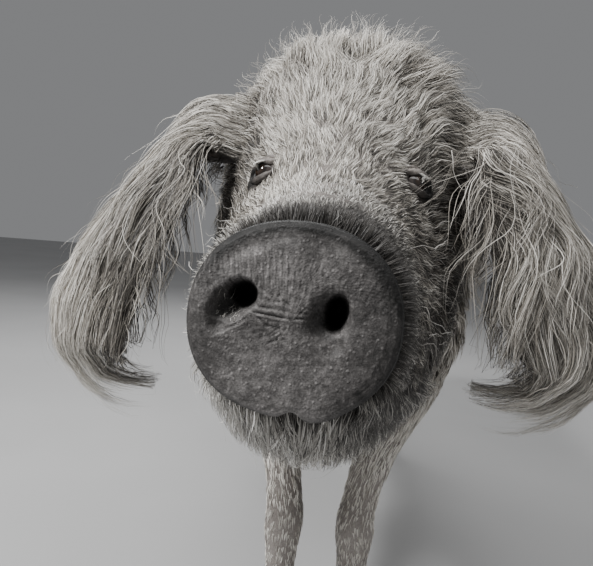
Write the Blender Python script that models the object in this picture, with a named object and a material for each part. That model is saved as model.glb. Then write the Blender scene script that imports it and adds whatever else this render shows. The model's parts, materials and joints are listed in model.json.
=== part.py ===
"""A long-haired, lop-eared domestic pig, standing with its head held level and its snout pushed forward.

Metres, +Z up. The pig faces -Y and its left side is at +X. Y is counted from the face of the snout while
the parts are made. At the end everything is moved, so that the origin is on the floor, under the middle
of the whole animal.
"""

import math
import random
from itertools import pairwise

import bmesh
import bpy
import numpy as np
from mathutils import Matrix, Vector

# Driving dimensions
# A lock from root to tip: how far along, share of its width, share of its lift, share of its thickness
LOCK_STATIONS = ((0.0, 0.70, -1.0, 1.0), (0.12, 1.0, 0.10, 1.0), (0.42, 0.86, 0.46, 1.0),
                 (0.74, 0.46, 0.78, 0.8), (1.0, 0.0, 1.0, 0.0))
GAP = 0.0003            # between parts that touch
SNOUT_HEIGHT = 0.607    # middle of the snout's disc above the floor
DISC_HALF_WIDTH = 0.0505
DISC_HALF_HEIGHT = 0.0455
NOTCH_ANGLE = 3.05      # the notch at the foot of the disc, a little to its left; radians from the top
SNOUT_TILT = 0.10       # the disc leans back by this much for each metre up
HEAD_FRONT = 0.016      # where the head meets the disc
HEAD_END = 0.365
NECK_END = 0.52
SHOULDER_END = 0.86
BARREL_END = 1.24
RUMP_END = 1.632
LEG_TOP = 0.395         # the legs are parted from the trunk at this height
HOOF_TOP = 0.036
EYE_RADIUS = 0.0125
EYE_CENTRE = Vector((0.0620, 0.2215, 0.6975))
EYE_CLEARANCE = 0.034    # no lock grows nearer to the middle of an eye
EAR_CLEARANCE = 0.024    # nor to the middle of an ear's root
EYE_LOOKS = Vector((0.80, -0.50, 0.33)).normalized()

# Side and top outlines of the bare skin, each a list of (distance behind the snout, size)
TOP_LINE = ((0.016, 0.652), (0.05, 0.658), (0.09, 0.668), (0.13, 0.686), (0.17, 0.712), (0.21, 0.745),
            (0.25, 0.782), (0.29, 0.820), (0.33, 0.846), (0.38, 0.852), (0.46, 0.848), (0.58, 0.848),
            (0.72, 0.854), (0.90, 0.861), (1.10, 0.862), (1.25, 0.855), (1.38, 0.836), (1.48, 0.804),
            (1.56, 0.770), (1.61, 0.722), (1.632, 0.67))
UNDER_LINE = ((0.016, 0.562), (0.05, 0.534), (0.09, 0.511), (0.14, 0.497), (0.20, 0.488), (0.26, 0.482),
              (0.32, 0.478), (0.40, 0.470), (0.50, 0.450), (0.60, 0.428), (0.72, 0.406), (0.90, 0.376),
              (1.10, 0.362), (1.22, 0.374), (1.33, 0.402), (1.44, 0.436), (1.54, 0.485), (1.60, 0.555),
              (1.632, 0.62))
HALF_WIDTH = ((0.016, 0.0480), (0.05, 0.0540), (0.09, 0.062), (0.13, 0.072), (0.17, 0.084), (0.21, 0.096),
              (0.25, 0.108), (0.30, 0.120), (0.35, 0.128), (0.42, 0.140), (0.50, 0.156), (0.60, 0.178),
              (0.70, 0.192), (0.85, 0.200), (1.00, 0.208), (1.15, 0.212), (1.28, 0.206), (1.40, 0.194),
              (1.50, 0.165), (1.58, 0.117), (1.632, 0.03))
WIDEST_AT = ((0.016, 0.606), (0.09, 0.600), (0.17, 0.590), (0.25, 0.580), (0.33, 0.590), (0.45, 0.610),
             (0.60, 0.625), (0.80, 0.620), (1.10, 0.610), (1.30, 0.620), (1.50, 0.640), (1.632, 0.640))
UPPER_ROUNDNESS = ((0.016, 2.1), (0.10, 2.0), (0.20, 1.75), (0.235, 1.85), (0.275, 2.3), (0.33, 2.9),
                   (0.40, 2.7), (0.55, 2.2), (0.70, 2.0), (1.632, 2.1))
LOWER_ROUNDNESS = ((0.016, 2.1), (0.10, 2.2), (0.20, 2.3), (0.30, 2.4), (0.60, 2.2), (1.10, 2.3),
                   (1.632, 2.2))
# How far the tips of the coat stand off the skin, on the back and on the belly
COAT_ON_BACK = ((0.016, 0.001), (0.08, 0.003), (0.18, 0.007), (0.27, 0.018), (0.33, 0.034), (0.42, 0.034),
                (0.60, 0.032), (1.10, 0.028), (1.45, 0.026), (1.632, 0.018))
COAT_BELOW = ((0.016, 0.001), (0.05, 0.008), (0.14, 0.016), (0.30, 0.018), (0.60, 0.016), (1.632, 0.014))
CORE = 0.45             # the dense part of the coat, as a share of its depth; the locks reach the rest
# Rows of locks: distance behind the snout, locks on each side, length, thickness. They end at LAST_LOCK,
# which gives an angle from the top for places along the body.
HEAD_ROWS = ((0.205, 3, 0.080, 0.004), (0.243, 4, 0.095, 0.004), (0.283, 4, 0.110, 0.005),
             (0.317, 4, 0.130, 0.005))
NECK_ROWS = ((0.392, 5, 0.155, 0.005), (0.455, 5, 0.175, 0.005))
SHOULDER_ROWS = ((0.545, 5, 0.200, 0.006), (0.645, 6, 0.215, 0.006), (0.750, 6, 0.220, 0.006))
BARREL_ROWS = ((0.885, 6, 0.225, 0.006), (0.995, 6, 0.225, 0.006), (1.105, 5, 0.220, 0.006))
RUMP_ROWS = ((1.265, 5, 0.210, 0.006), (1.365, 5, 0.190, 0.006), (1.455, 4, 0.160, 0.005),
             (1.535, 4, 0.120, 0.005))
# The beard under the chin: distance behind the snout, locks on each side, length
BEARD_ROWS = ((0.045, 2, 0.042), (0.085, 3, 0.055), (0.135, 3, 0.065))
# The flap's stations with its share of the full width, and the rows of its locks: station, count, length
EAR_FLAP = ((0, 1.0), (0.5, 1.0), (1, 1.0), (2, 1.0), (3, 0.98), (3.8, 0.88), (4.5, 0.60), (4.9, 0.25))
EAR_ROWS = ((0.38, 3, 0.107), (1.30, 4, 0.125), (2.20, 4, 0.140), (3.15, 4, 0.155), (3.95, 3, 0.160))
# How far each ear's lower end hangs further out and up than the mean of the two
EAR_DROOP = {1: Vector((-0.012, 0, 0.014)), -1: Vector((0.012, 0, -0.014))}
LAST_LOCK = ((0.20, 45), (0.25, 72), (0.33, 98), (0.45, 88), (0.60, 112), (1.20, 122), (1.632, 108))
# How far the locks turn down from straight back, in degrees, by their angle from the top
LIE = ((0, 12), (40, 26), (90, 40), (130, 30))

MOUTH_LINE = ((0.016, 0.571), (0.05, 0.564), (0.09, 0.560), (0.13, 0.564), (0.17, 0.574))
MOUTH_CORNER = 0.165
MOUTH_DEPTH = 0.006

# The left ear's midrib from its root to the end of its hair: place, half width, direction across
EAR_MIDRIB = ((0.128, 0.308, 0.748), (0.155, 0.300, 0.746), (0.184, 0.278, 0.708), (0.207, 0.254, 0.655),
              (0.221, 0.240, 0.604), (0.226, 0.234, 0.558), (0.215, 0.240, 0.522), (0.188, 0.246, 0.501),
              (0.150, 0.250, 0.499))
EAR_HALF_WIDTHS = (0.044, 0.056, 0.074, 0.082, 0.080, 0.070, 0.056, 0.044, 0.026)
EAR_ACROSS = ((0.0, 0.62, 0.77), (0.10, 0.80, 0.55), (0.38, 0.88, 0.28), (0.62, 0.76, 0.12),
              (0.74, 0.66, 0.0), (0.78, 0.62, -0.10), (0.72, 0.62, -0.32), (0.45, 0.62, -0.64),
              (0.10, 0.62, -0.78))
EAR_THICKNESS = (0.034, 0.024, 0.015, 0.012, 0.012, 0.014, 0.014, 0.012, 0.006)
EAR_CUP = (0.002, 0.008, 0.018, 0.020, 0.016, 0.012, 0.008, 0.004, 0.002)

# Each leg from the trunk to its hooves: height, sideways, behind the snout, half width, half depth
FORELEG = ((0.600, 0.140, 0.660, 0.050, 0.105), (0.520, 0.136, 0.650, 0.056, 0.100),
           (0.450, 0.124, 0.638, 0.053, 0.086), (LEG_TOP, 0.108, 0.618, 0.046, 0.066),
           (0.345, 0.088, 0.597, 0.036, 0.049), (0.295, 0.072, 0.576, 0.029, 0.040),
           (0.245, 0.060, 0.553, 0.027, 0.034), (0.210, 0.056, 0.541, 0.029, 0.034),
           (0.165, 0.056, 0.535, 0.0235, 0.027), (0.115, 0.057, 0.527, 0.0225, 0.026),
           (0.080, 0.058, 0.517, 0.027, 0.031), (0.055, 0.059, 0.504, 0.026, 0.028),
           (HOOF_TOP, 0.060, 0.492, 0.029, 0.033))
HINDLEG = ((0.700, 0.095, 1.430, 0.050, 0.130), (0.610, 0.117, 1.440, 0.056, 0.148),
           (0.520, 0.134, 1.430, 0.060, 0.142), (0.450, 0.142, 1.408, 0.060, 0.116),
           (LEG_TOP, 0.146, 1.394, 0.054, 0.088), (0.345, 0.142, 1.400, 0.043, 0.062),
           (0.300, 0.138, 1.425, 0.034, 0.047), (0.262, 0.134, 1.447, 0.030, 0.045),
           (0.225, 0.131, 1.446, 0.027, 0.036), (0.165, 0.129, 1.428, 0.024, 0.029),
           (0.115, 0.128, 1.412, 0.024, 0.027), (0.080, 0.128, 1.402, 0.028, 0.032),
           (0.055, 0.128, 1.390, 0.026, 0.028), (HOOF_TOP, 0.128, 1.382, 0.029, 0.033))
# The legs slant so that each foot ends this far from the plain stance, sideways and behind
STANCE = {"front_left": (0.004, 0.012), "front_right": (0.008, -0.012),
          "hind_left": (0.006, 0.030), "hind_right": (-0.006, -0.045)}

# The tail hangs from its root in one loose turn
TAIL_MIDDLE = ((0.0, 1.640, 0.752), (0.002, 1.660, 0.745), (0.012, 1.682, 0.724), (0.030, 1.694, 0.694),
               (0.036, 1.692, 0.658), (0.020, 1.680, 0.632), (-0.008, 1.680, 0.614),
               (-0.026, 1.692, 0.590), (-0.026, 1.704, 0.560), (-0.012, 1.706, 0.530))
TAIL_RADII = (0.019, 0.0175, 0.016, 0.0145, 0.013, 0.012, 0.011, 0.010, 0.009, 0.008, 0.007, 0.005)

COAT_COLOUR = (0.62, 0.55, 0.46, 1.0)
SNOUT_COLOUR = (0.20, 0.17, 0.16, 1.0)
HOOF_COLOUR = (0.12, 0.10, 0.09, 1.0)
EYE_COLOUR = (0.03, 0.02, 0.015, 1.0)


def curve_through(points):
    """A smooth function through the points, with no overshoot between them."""
    at, value = np.array(points, float).T
    slope = np.diff(value) / np.diff(at)
    tangent = np.concatenate([slope[:1], (slope[1:] + slope[:-1]) / 2, slope[-1:]])
    turning = np.concatenate([[False], slope[1:] * slope[:-1] <= 0, [False]])
    tangent[turning] = 0

    def read(x):
        x = min(max(x, at[0]), at[-1])
        i = min(int(np.searchsorted(at, x, side="right")) - 1, len(slope) - 1)
        step = at[i + 1] - at[i]
        t = (x - at[i]) / step
        start, end = value[i] + tangent[i] * step * t, value[i + 1] - tangent[i + 1] * step * (1 - t)
        blend = t * t * (3 - 2 * t)
        return float(start * (1 - blend) + end * blend)

    return read


top_line, under_line, half_width = map(curve_through, (TOP_LINE, UNDER_LINE, HALF_WIDTH))
widest_at, mouth_line = map(curve_through, (WIDEST_AT, MOUTH_LINE))
upper_roundness, lower_roundness = map(curve_through, (UPPER_ROUNDNESS, LOWER_ROUNDNESS))
coat_on_back, coat_below = map(curve_through, (COAT_ON_BACK, COAT_BELOW))
last_lock, lie = map(curve_through, (LAST_LOCK, LIE))


def bump(distance, reach):
    """A soft hill of height 1, that has faded away at about twice its reach."""
    return math.exp(-((distance / reach) ** 2))


def signed_power(value, power):
    return math.copysign(abs(value) ** power, value)


def coat_depth(y, up):
    """How far the coat's tips stand off the skin; up is 1 on the back and -1 on the belly."""
    return coat_below(y) + (coat_on_back(y) - coat_below(y)) * (0.5 + 0.5 * up)


def relief(y, x, z):
    """How far the skin stands out from the plain section: eye hollows, brows, cheeks, lips and jaw."""
    if y > HEAD_END + 0.05:
        return 0.0
    eye = Vector((abs(x), y, z)) - EYE_CENTRE
    out = -0.006 * bump(eye.length, 0.024)
    out += 0.007 * bump((eye - Vector((-0.012, 0.012, 0.034))).length, 0.026)
    out += 0.006 * bump((Vector((abs(x), y, z)) - Vector((0.10, 0.250, 0.610))).length, 0.045)
    if y < MOUTH_CORNER and z < SNOUT_HEIGHT - 0.02:
        below = mouth_line(y) - z
        fade = min(1.0, (MOUTH_CORNER - y) / 0.03)
        out += 0.0025 * bump(abs(below) - 0.009, 0.006) * fade
        if below > 0:
            out -= 0.005 * min(1.0, below / 0.01) * min(1.0, max(0.0, (0.11 - y) / 0.05))
    return out


def trunk_point(y, angle, coat=0.0, groove=0.0):
    """A point of the trunk. The angle runs round from the back; coat is a share of the coat's depth."""
    side, up = math.sin(angle), math.cos(angle)
    roundness = upper_roundness(y) if up > 0 else lower_roundness(y)
    middle = widest_at(y)
    reach = top_line(y) - middle if up > 0 else middle - under_line(y)
    x = half_width(y) * signed_power(side, 2 / roundness)
    z = middle + reach * signed_power(up, 2 / roundness)
    # outward direction of the section, good enough to push the relief and the coat along
    outward = Vector((side * reach, 0, up * half_width(y))).normalized()
    depth = coat * coat_depth(y, up) + relief(y, x, z) - groove
    return leaned(Vector((x, y, z)) + outward * depth)


def leaned(point):
    """The sections near the snout lean back with its disc."""
    share = max(0.0, 1 - (point.y - HEAD_FRONT) / 0.13)
    return Vector((point.x, point.y + SNOUT_TILT * share * (point.z - SNOUT_HEIGHT), point.z))


def trunk_normal(y, angle):
    step = 0.01
    along = trunk_point(y + step, angle, 1) - trunk_point(y - step, angle, 1)
    around = trunk_point(y, angle + step, 1) - trunk_point(y, angle - step, 1)
    return around.cross(along).normalized()


def material(name, colour, roughness):
    made = bpy.data.materials.new(name)
    made.use_nodes = True
    shader = made.node_tree.nodes["Principled BSDF"]
    shader.inputs["Base Color"].default_value = colour
    shader.inputs["Roughness"].default_value = roughness
    return made


def new_object(name, mesh_in_progress, finish, collection):
    data = bpy.data.meshes.new(name)
    bmesh.ops.recalc_face_normals(mesh_in_progress, faces=mesh_in_progress.faces)
    mesh_in_progress.to_mesh(data)
    mesh_in_progress.free()
    made = bpy.data.objects.new(name, data)
    data.materials.append(finish)
    collection.objects.link(made)
    return made


def loft(name, rings, finish, collection, tip_end=False):
    """A closed solid through rings of points, with flat caps or with its end drawn to a point."""
    work = bmesh.new()
    loops = [[work.verts.new(point) for point in ring] for ring in rings]
    for lower, upper in pairwise(loops):
        count = max(len(lower), len(upper))
        for i in range(count):
            a, b = lower[i - 1], lower[i]
            c, d = upper[i], upper[i - 1]
            half = i > count // 2
            corners = ((a, b, c), (a, c, d)) if half else ((a, b, d), (b, c, d))
            for triangle in corners:
                work.faces.new(triangle)
    work.faces.new(loops[0])
    if tip_end:
        bmesh.ops.pointmerge(work, verts=loops[-1], merge_co=sum(rings[-1], Vector()) / len(rings[-1]))
    else:
        work.faces.new(loops[-1])
    return new_object(name, work, finish, collection)


def largest_surface(work):
    """Deletes all but the largest closed surface of a bmesh."""
    left, islands = set(work.verts), []
    while left:
        stack = [left.pop()]
        island = set(stack)
        while stack:
            for edge in stack.pop().link_edges:
                for vert in edge.verts:
                    if vert in left:
                        left.discard(vert)
                        island.add(vert)
                        stack.append(vert)
        islands.append(island)
    if len(islands) > 1:
        islands.sort(key=len)
        scraps = [vert for island in islands[:-1] for vert in island]
        bmesh.ops.delete(work, geom=scraps, context="VERTS")


def boolean(target, pieces, operation):
    """Joins a collection of closed pieces to the target, or cuts them from it, and removes them."""
    if not pieces.objects:
        return
    step = target.modifiers.new(operation.lower(), "BOOLEAN")
    step.operation = operation
    step.operand_type = "COLLECTION"
    step.collection = pieces
    step.solver = "MANIFOLD"
    bpy.context.view_layer.update()
    graph = bpy.context.evaluated_depsgraph_get()
    data = bpy.data.meshes.new_from_object(target.evaluated_get(graph))
    target.modifiers.clear()
    target.data = data
    for piece in list(pieces.objects):
        bpy.data.objects.remove(piece)
    work = bmesh.new()
    work.from_mesh(data)
    largest_surface(work)
    bmesh.ops.triangulate(work, faces=[f for f in work.faces if len(f.verts) > 4])
    work.to_mesh(data)
    work.free()


def new_collection(name):
    made = bpy.data.collections.new(name)
    bpy.context.scene.collection.children.link(made)
    return made


def blunt_ring(ring, share):
    """The ring drawn in towards its middle."""
    middle = sum(ring, Vector()) / len(ring)
    return [middle.lerp(point, share) for point in ring]


RING = 24


def trunk_ring(y, coat, count=RING):
    return [trunk_point(y, math.tau * i / count, coat) for i in range(count)]


def head_ring(y, coat, count=30):
    """A ring of the head with three of its points gathered at each side of the mouth."""
    middle, under = widest_at(y), under_line(y)
    share = min(0.97, max(0.0, (middle - mouth_line(y)) / (middle - under)))
    mouth = math.pi - math.acos(share ** (lower_roundness(y) / 2))
    lip = 0.004 / half_width(y)
    mouth_index = count * 3 // 8
    known_at = (0, mouth_index - 1, mouth_index, mouth_index + 1, count // 2)
    known = (0.0, mouth - lip, mouth, mouth + lip, math.pi)
    groove = MOUTH_DEPTH * min(1.0, max(0.0, (MOUTH_CORNER - y) / 0.03))
    ring = []
    for i in range(count):
        from_top = min(i, count - i)
        angle = float(np.interp(from_top, known_at, known))
        angle = angle if i == from_top else -angle
        ring.append(trunk_point(y, angle, coat, groove if from_top == mouth_index else 0.0))
    return ring


def evenly(start, end, count):
    return [start + (end - start) * i / (count - 1) for i in range(count)]


def head(skin, parts, scraps):
    places = evenly(HEAD_FRONT, 0.13, 7) + evenly(0.148, HEAD_END - GAP / 2, 10)
    body = loft("head", [head_ring(y, CORE) for y in places], skin, parts)
    for side in (-1, 1):
        add_ear_boss(side, skin, scraps)
        add_lids(side, skin, scraps)
    plant_rows("head", HEAD_ROWS, 0, skin, scraps)
    plant_beard(skin, scraps)
    boolean(body, scraps, "UNION")
    for side in (-1, 1):
        ball(mirrored(EYE_CENTRE, side), [EYE_RADIUS + GAP] * 3, skin, scraps)
    boolean(body, scraps, "DIFFERENCE")


def mirrored(point, side):
    point = Vector(point)
    return Vector((point.x * side, point.y, point.z))


def ball(centre, size, finish, collection, name="ball", turn=None):
    """An ellipsoid with three half sizes, turned by a rotation."""
    work = bmesh.new()
    place = Matrix.Translation(centre) @ (turn or Matrix.Identity(4)) @ Matrix.Diagonal((*size, 1))
    bmesh.ops.create_uvsphere(work, u_segments=14, v_segments=7, radius=1, matrix=place)
    return new_object(name, work, finish, collection)


def add_lids(side, skin, scraps):
    """A low mound of skin round the eyeball, and the thick almond ring of its lids."""
    looks = mirrored(EYE_LOOKS, side)
    across = looks.cross(Vector((0, 0, 1))).normalized()
    upward = across.cross(looks)
    axes = Matrix((across, upward, -looks)).transposed().to_4x4()
    ball(mirrored(EYE_CENTRE, side) + looks * 0.002, (0.025, 0.020, 0.0085), skin, scraps, turn=axes)
    centre = mirrored(EYE_CENTRE, side) + looks * 0.0088
    path, radii = [], []
    for i in range(14):
        turn = math.tau * i / 14
        corner = math.cos(turn) ** 2
        edge = across * math.cos(turn) * 0.0148 + upward * math.sin(turn) * 0.0090
        path.append(centre + edge - looks * 0.0035 * corner)
        radii.append(0.0040 + 0.0008 * math.sin(turn) - 0.0008 * corner)
    bar("lids", path, radii, skin, scraps, closed=True)


def ear_tables():
    """Smooth functions of the station along the ear: the place, the direction across and the sizes."""
    stations = range(len(EAR_MIDRIB))
    vectors = [[curve_through(list(zip(stations, (v[k] for v in table)))) for k in range(3)]
               for table in (EAR_MIDRIB, EAR_ACROSS)]
    tables = (EAR_HALF_WIDTHS, EAR_THICKNESS, EAR_CUP)
    return vectors, [curve_through(list(zip(stations, table))) for table in tables]


(EAR_PLACE, EAR_SIDEWAYS), (ear_half_width, ear_thickness, ear_cup) = ear_tables()


def ear_frame(station):
    """The left ear's place, direction across, outward direction and direction along, before it droops."""
    middle = Vector([curve(station) for curve in EAR_PLACE])
    sideways = Vector([curve(station) for curve in EAR_SIDEWAYS])
    ahead = Vector([curve(station + 0.1) for curve in EAR_PLACE])
    behind = Vector([curve(station - 0.1) for curve in EAR_PLACE])
    along = (ahead - behind).normalized()
    sideways = (sideways - along * sideways.dot(along)).normalized()
    return middle, sideways, along.cross(sideways), along


def ear_point(station, v, lift, side):
    """A point of one ear's middle sheet, raised outwards; v runs from -1 to 1 across it."""
    middle, sideways, outward, _ = ear_frame(station)
    point = middle + sideways * ear_half_width(station) * v + outward * (lift - ear_cup(station) * v * v)
    share = min(1.0, max(0.0, station / 3.5))
    return mirrored(point + EAR_DROOP[side] * share * share * (3 - 2 * share), side)


def ear_section(station, side, share=1.0, half_count=7):
    """One closed cross-section of the ear: over its outer side, and back along its cupped inner side."""
    over, back = [], []
    for k in range(half_count + 1):
        v = 2 * k / half_count - 1
        half_thick = ear_thickness(station) / 2 * math.sqrt(1 - 0.93 * v * v)
        over.append(ear_point(station, v * share, half_thick, side))
        back.append(ear_point(station, v * share, -half_thick, side))
    return over + back[::-1]


def add_ear_boss(side, skin, scraps):
    """The stump on the head that the ear meets."""
    section = ear_section(0, side)
    along = mirrored(ear_frame(0)[3], side)
    inner = [p - along * 0.050 for p in blunt_ring(section, 0.85)]
    loft("boss", [inner, section], skin, scraps)


def ear(side, name, finish, parts, scraps):
    """A cupped, hanging flap, with long hair over its outer side and beyond its edge."""
    sections = [ear_section(station, side, share) for station, share in EAR_FLAP]
    along = mirrored(ear_frame(0)[3], side)
    sections[0] = [p + along * GAP for p in sections[0]]
    made = loft(name, sections, finish, parts)
    rng = random.Random(name)
    for index, (station, count, length) in enumerate(EAR_ROWS):
        for i in range(count):
            v = (2 * i + 1.0 + 0.5 * (index % 2)) / (count + 0.25) - 1
            ear_lock(station, v, length, 1.75 / count, side, rng, finish, scraps)
    boolean(made, scraps, "UNION")


def ear_lock(station, v, length, share, side, rng, finish, collection):
    length *= rng.uniform(0.94, 1.06)
    wave, phase = rng.uniform(0.02, 0.04), rng.uniform(0, math.tau)
    outward_drift = 0.10 * v
    sections, before = [], 0.0
    for t, width, lift, depth in LOCK_STATIONS:
        pace = (ear_point(station + 0.1, 0, 0, side) - ear_point(station - 0.1, 0, 0, side)).length / 0.2
        station += (t - before) * length / pace
        before = t
        middle = v + outward_drift * t + wave * (math.sin(phase + t * 6) - math.sin(phase)) * t
        raised = ear_thickness(station) / 2 + (lift * 0.020 if lift > 0 else -0.005)
        half = width * share * 0.5
        points = [(middle - half, 0.0), (middle, 1.0), (middle + half, 0.0)]
        sections.append([ear_point(station, u, raised + up * depth * 0.005, side) for u, up in points])
    lock(sections, finish, collection)


def disc_outline(angle, scale):
    """The edge of the snout's disc, with its notch at the foot."""
    side, up = math.sin(angle), math.cos(angle)
    from_notch = (angle - NOTCH_ANGLE + math.pi) % math.tau - math.pi
    notch = 0.0035 * bump(from_notch, 0.16)
    x = (DISC_HALF_WIDTH * scale) * signed_power(side, 0.93)
    z = (DISC_HALF_HEIGHT * scale - notch) * signed_power(up, 0.93)
    return x, z


def disc_ring(forward, scale, count=30):
    ring = []
    for i in range(count):
        angle = math.tau * i / count
        angle = angle - math.tau if angle > math.pi else angle
        x, z = disc_outline(angle, scale)
        ring.append(Vector((x, SNOUT_TILT * z - forward, SNOUT_HEIGHT + z)))
    return ring


def snout(finish, parts, scraps):
    """The disc with its rim, its shallow dish and two nostrils."""
    steps = ((-HEAD_FRONT + GAP, 0.88), (-0.008, 0.925), (-0.002, 0.985), (0.003, 1.0), (0.008, 0.975),
             (0.0105, 0.92), (0.0115, 0.78), (0.0108, 0.50), (0.0118, 0.02))
    rings = [disc_ring(forward, scale) for forward, scale in steps]
    body = loft("snout", rings, finish, parts, tip_end=True)
    for side in (-1, 1):
        nostril(side, finish, scraps)
    boolean(body, scraps, "DIFFERENCE")


def nostril(side, finish, scraps):
    """A comma-shaped hollow that runs back and outwards."""
    rings = []
    for depth, wide, high, shift in ((-0.006, 0.0125, 0.0120, 0.0020), (0.004, 0.0095, 0.0092, 0.001),
                                     (0.012, 0.0080, 0.0080, 0.0), (0.020, 0.0060, 0.0065, -0.001)):
        ring = []
        for i in range(14):
            angle = math.tau * i / 14
            tail = 0.0045 * bump(angle - math.pi * 1.25, 0.5)
            x = 0.0222 + shift + math.cos(angle) * wide + tail * math.cos(angle)
            z = 0.0045 + math.sin(angle) * high + tail * math.sin(angle)
            ring.append(Vector((side * x, SNOUT_TILT * z - 0.0115 + depth, SNOUT_HEIGHT + z)))
        rings.append(ring)
    loft("nostril", rings, finish, scraps)


def lock(sections, finish, collection):
    """A flat, tapered lock through three-cornered sections: edge, ridge and edge. It ends in a point."""
    loft("lock", sections, finish, collection, tip_end=True)


def step_over_skin(y, angle, heading, distance):
    """Walks over the coat's core. The heading is counted from straight back and turns down the side."""
    nudge = 0.02
    along = trunk_point(y + nudge, angle, CORE) - trunk_point(y - nudge, angle, CORE)
    around = trunk_point(y, angle + nudge, CORE) - trunk_point(y, angle - nudge, CORE)
    per_y, per_angle = along.length / (2 * nudge), max(0.03, around.length / (2 * nudge))
    return y + math.cos(heading) * distance / per_y, angle + math.sin(heading) * distance / per_angle


def body_lock(y, angle, length, wide, thick, front, rng, finish, collection):
    """One lock lying over the trunk, from its sunk root to a tip at the coat's full depth."""
    side = 1 if angle >= 0 else -1
    turn = math.radians(rng.uniform(-3, 3))
    length *= rng.uniform(0.94, 1.04)
    wide *= rng.uniform(0.94, 1.0)
    sway = rng.uniform(-0.35, 0.35)
    sections, before = [], 0.0
    for t, width, lift, depth in LOCK_STATIONS:
        fall = math.radians(lie(math.degrees(abs(angle))))
        heading = side * (fall + turn + sway * (t - 0.5) * t)
        y, angle = step_over_skin(y, angle, heading, (t - before) * length)
        before = t
        raised = lift * ((1 - CORE) * coat_depth(y, math.cos(angle)) if lift > 0 else 0.065 * length)
        points = []
        for across, up in ((-0.5, 0.0), (0.0, 1.0), (0.5, 0.0)):
            at_y, at_angle = step_over_skin(y, angle, heading + math.pi / 2, across * width * wide)
            at_y = max(at_y, front + 0.003)
            place = trunk_point(at_y, at_angle, CORE)
            points.append(place + trunk_normal(at_y, at_angle) * (raised + up * depth * thick))
        sections.append(points)
    if all(clear_of_ears(point) for points in sections for point in points):
        lock(sections, finish, collection)


def clear_of_ears(point):
    """True for a place that leaves room for the roots of the ears."""
    point = mirrored(point, 1 if point.x > 0 else -1)
    roots = [ear_point(station, v, 0, 1) for station in (0, 0.5) for v in (-1, -0.5, 0, 0.5, 1)]
    return min((point - root).length for root in roots) > EAR_CLEARANCE


def plant_rows(name, rows, front, finish, collection):
    """Rows of locks, each row set between those of the row in front of it."""
    rng = random.Random(name)
    for index, (y, count, length, thick) in enumerate(rows):
        last = math.radians(last_lock(y))
        samples = [trunk_point(y, last * i / 40, CORE) for i in range(41)]
        arc = np.concatenate([[0], np.cumsum([(b - a).length for a, b in pairwise(samples)])])
        spacing = arc[-1] / count
        places = [spacing * (i + 0.5 * (index % 2)) for i in range(count + 1 - index % 2)]
        for at in places:
            angle = float(np.interp(at, arc, np.linspace(0, last, 41)))
            if (trunk_point(y, angle, CORE) - EYE_CENTRE).length < EYE_CLEARANCE:
                continue
            wide = spacing * 0.91 * math.cos(math.radians(lie(min(130, math.degrees(angle)))))
            for side in ((1, -1) if angle > 0.01 else (1,)):
                body_lock(y, side * angle, length, wide, thick, front, rng, finish, collection)


def plant_beard(skin, scraps):
    """The bristly locks that hang back from the chin."""
    rng = random.Random("beard")
    for y, count, length in BEARD_ROWS:
        for i in range(count):
            angle, spacing = math.radians(132 + 48 * (i + 0.5) / count), math.radians(48 / count)
            wide = 0.9 * (trunk_point(y, angle) - trunk_point(y, angle - spacing)).length
            for side in (1, -1):
                body_lock(y, side * angle, length, wide, 0.004, 0, rng, skin, scraps)


def trunk_part(name, start, end, count, skin, parts):
    places = evenly(start + GAP / 2, end - GAP / 2, count)
    rings = [trunk_ring(y, CORE) for y in places]
    return loft(name, rings, skin, parts)


def leg_station(rows, side, stance, height):
    """The middle of a leg at one height, and its half width and half depth."""
    columns = np.array(rows[::-1]).T
    across, behind, wide, deep = (float(np.interp(height, columns[0], column)) for column in columns[1:])
    drop = min(1.0, max(0.0, (LEG_TOP - height) / (LEG_TOP - HOOF_TOP)))
    return Vector((side * across + stance[0] * drop, behind + stance[1] * drop, height)), wide, deep


def leg_ring(rows, side, stance, height, count=12):
    middle, wide, deep = leg_station(rows, side, stance, height)
    return [middle + Vector((math.cos(a) * wide, math.sin(a) * deep, 0))
            for a in (math.tau * i / count for i in range(count))]


def leg(name, rows, side, stance, skin, parts):
    below = [row[0] for row in rows if row[0] <= LEG_TOP]
    return loft(name, [leg_ring(rows, side, stance, height) for height in below], skin, parts)


def add_leg_stub(rows, side, skin, scraps):
    """The top of the leg, inside the trunk's own part."""
    above = [row[0] for row in rows if row[0] >= LEG_TOP]
    rings = [leg_ring(rows, side, (0, 0), height) for height in above]
    rings[-1] = [p + Vector((0, 0, GAP)) for p in rings[-1]]
    loft("stub", rings, skin, scraps)


def claw(name, x, y, side, finish, parts):
    """One of a foot's two claws: flat inside and underneath, and sloping in front."""
    rings = []
    for height, front, back, wide in ((0.0, 0.044, 0.024, 0.0160), (0.012, 0.041, 0.027, 0.0165),
                                      (HOOF_TOP - GAP, 0.028, 0.028, 0.0150)):
        ring = []
        for i in range(12):
            angle = math.tau * i / 12
            reach = front if math.cos(angle) > 0 else back
            out = math.sin(angle) * wide
            out = max(out, -wide * 0.75)
            ring.append(Vector((x + side * out, y - math.cos(angle) * reach, height)))
        rings.append(ring)
    return loft(name, rings, finish, parts)


def foot(name, rows, side, stance, finish, parts):
    x, y, _ = leg_station(rows, side, stance, HOOF_TOP)[0]
    for toe, offset in (("inner", -1), ("outer", 1)):
        outward = side * offset
        claw(f"{name}_claw_{toe}", x + outward * 0.0160, y, outward, finish, parts)
        root, way = dew_place(rows, side, stance, outward)
        start, end = root + way * GAP, root + way * 0.026
        cone(f"{name}_dewclaw_{toe}", start, end, 0.0112, 0.0055, finish, parts)


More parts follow.
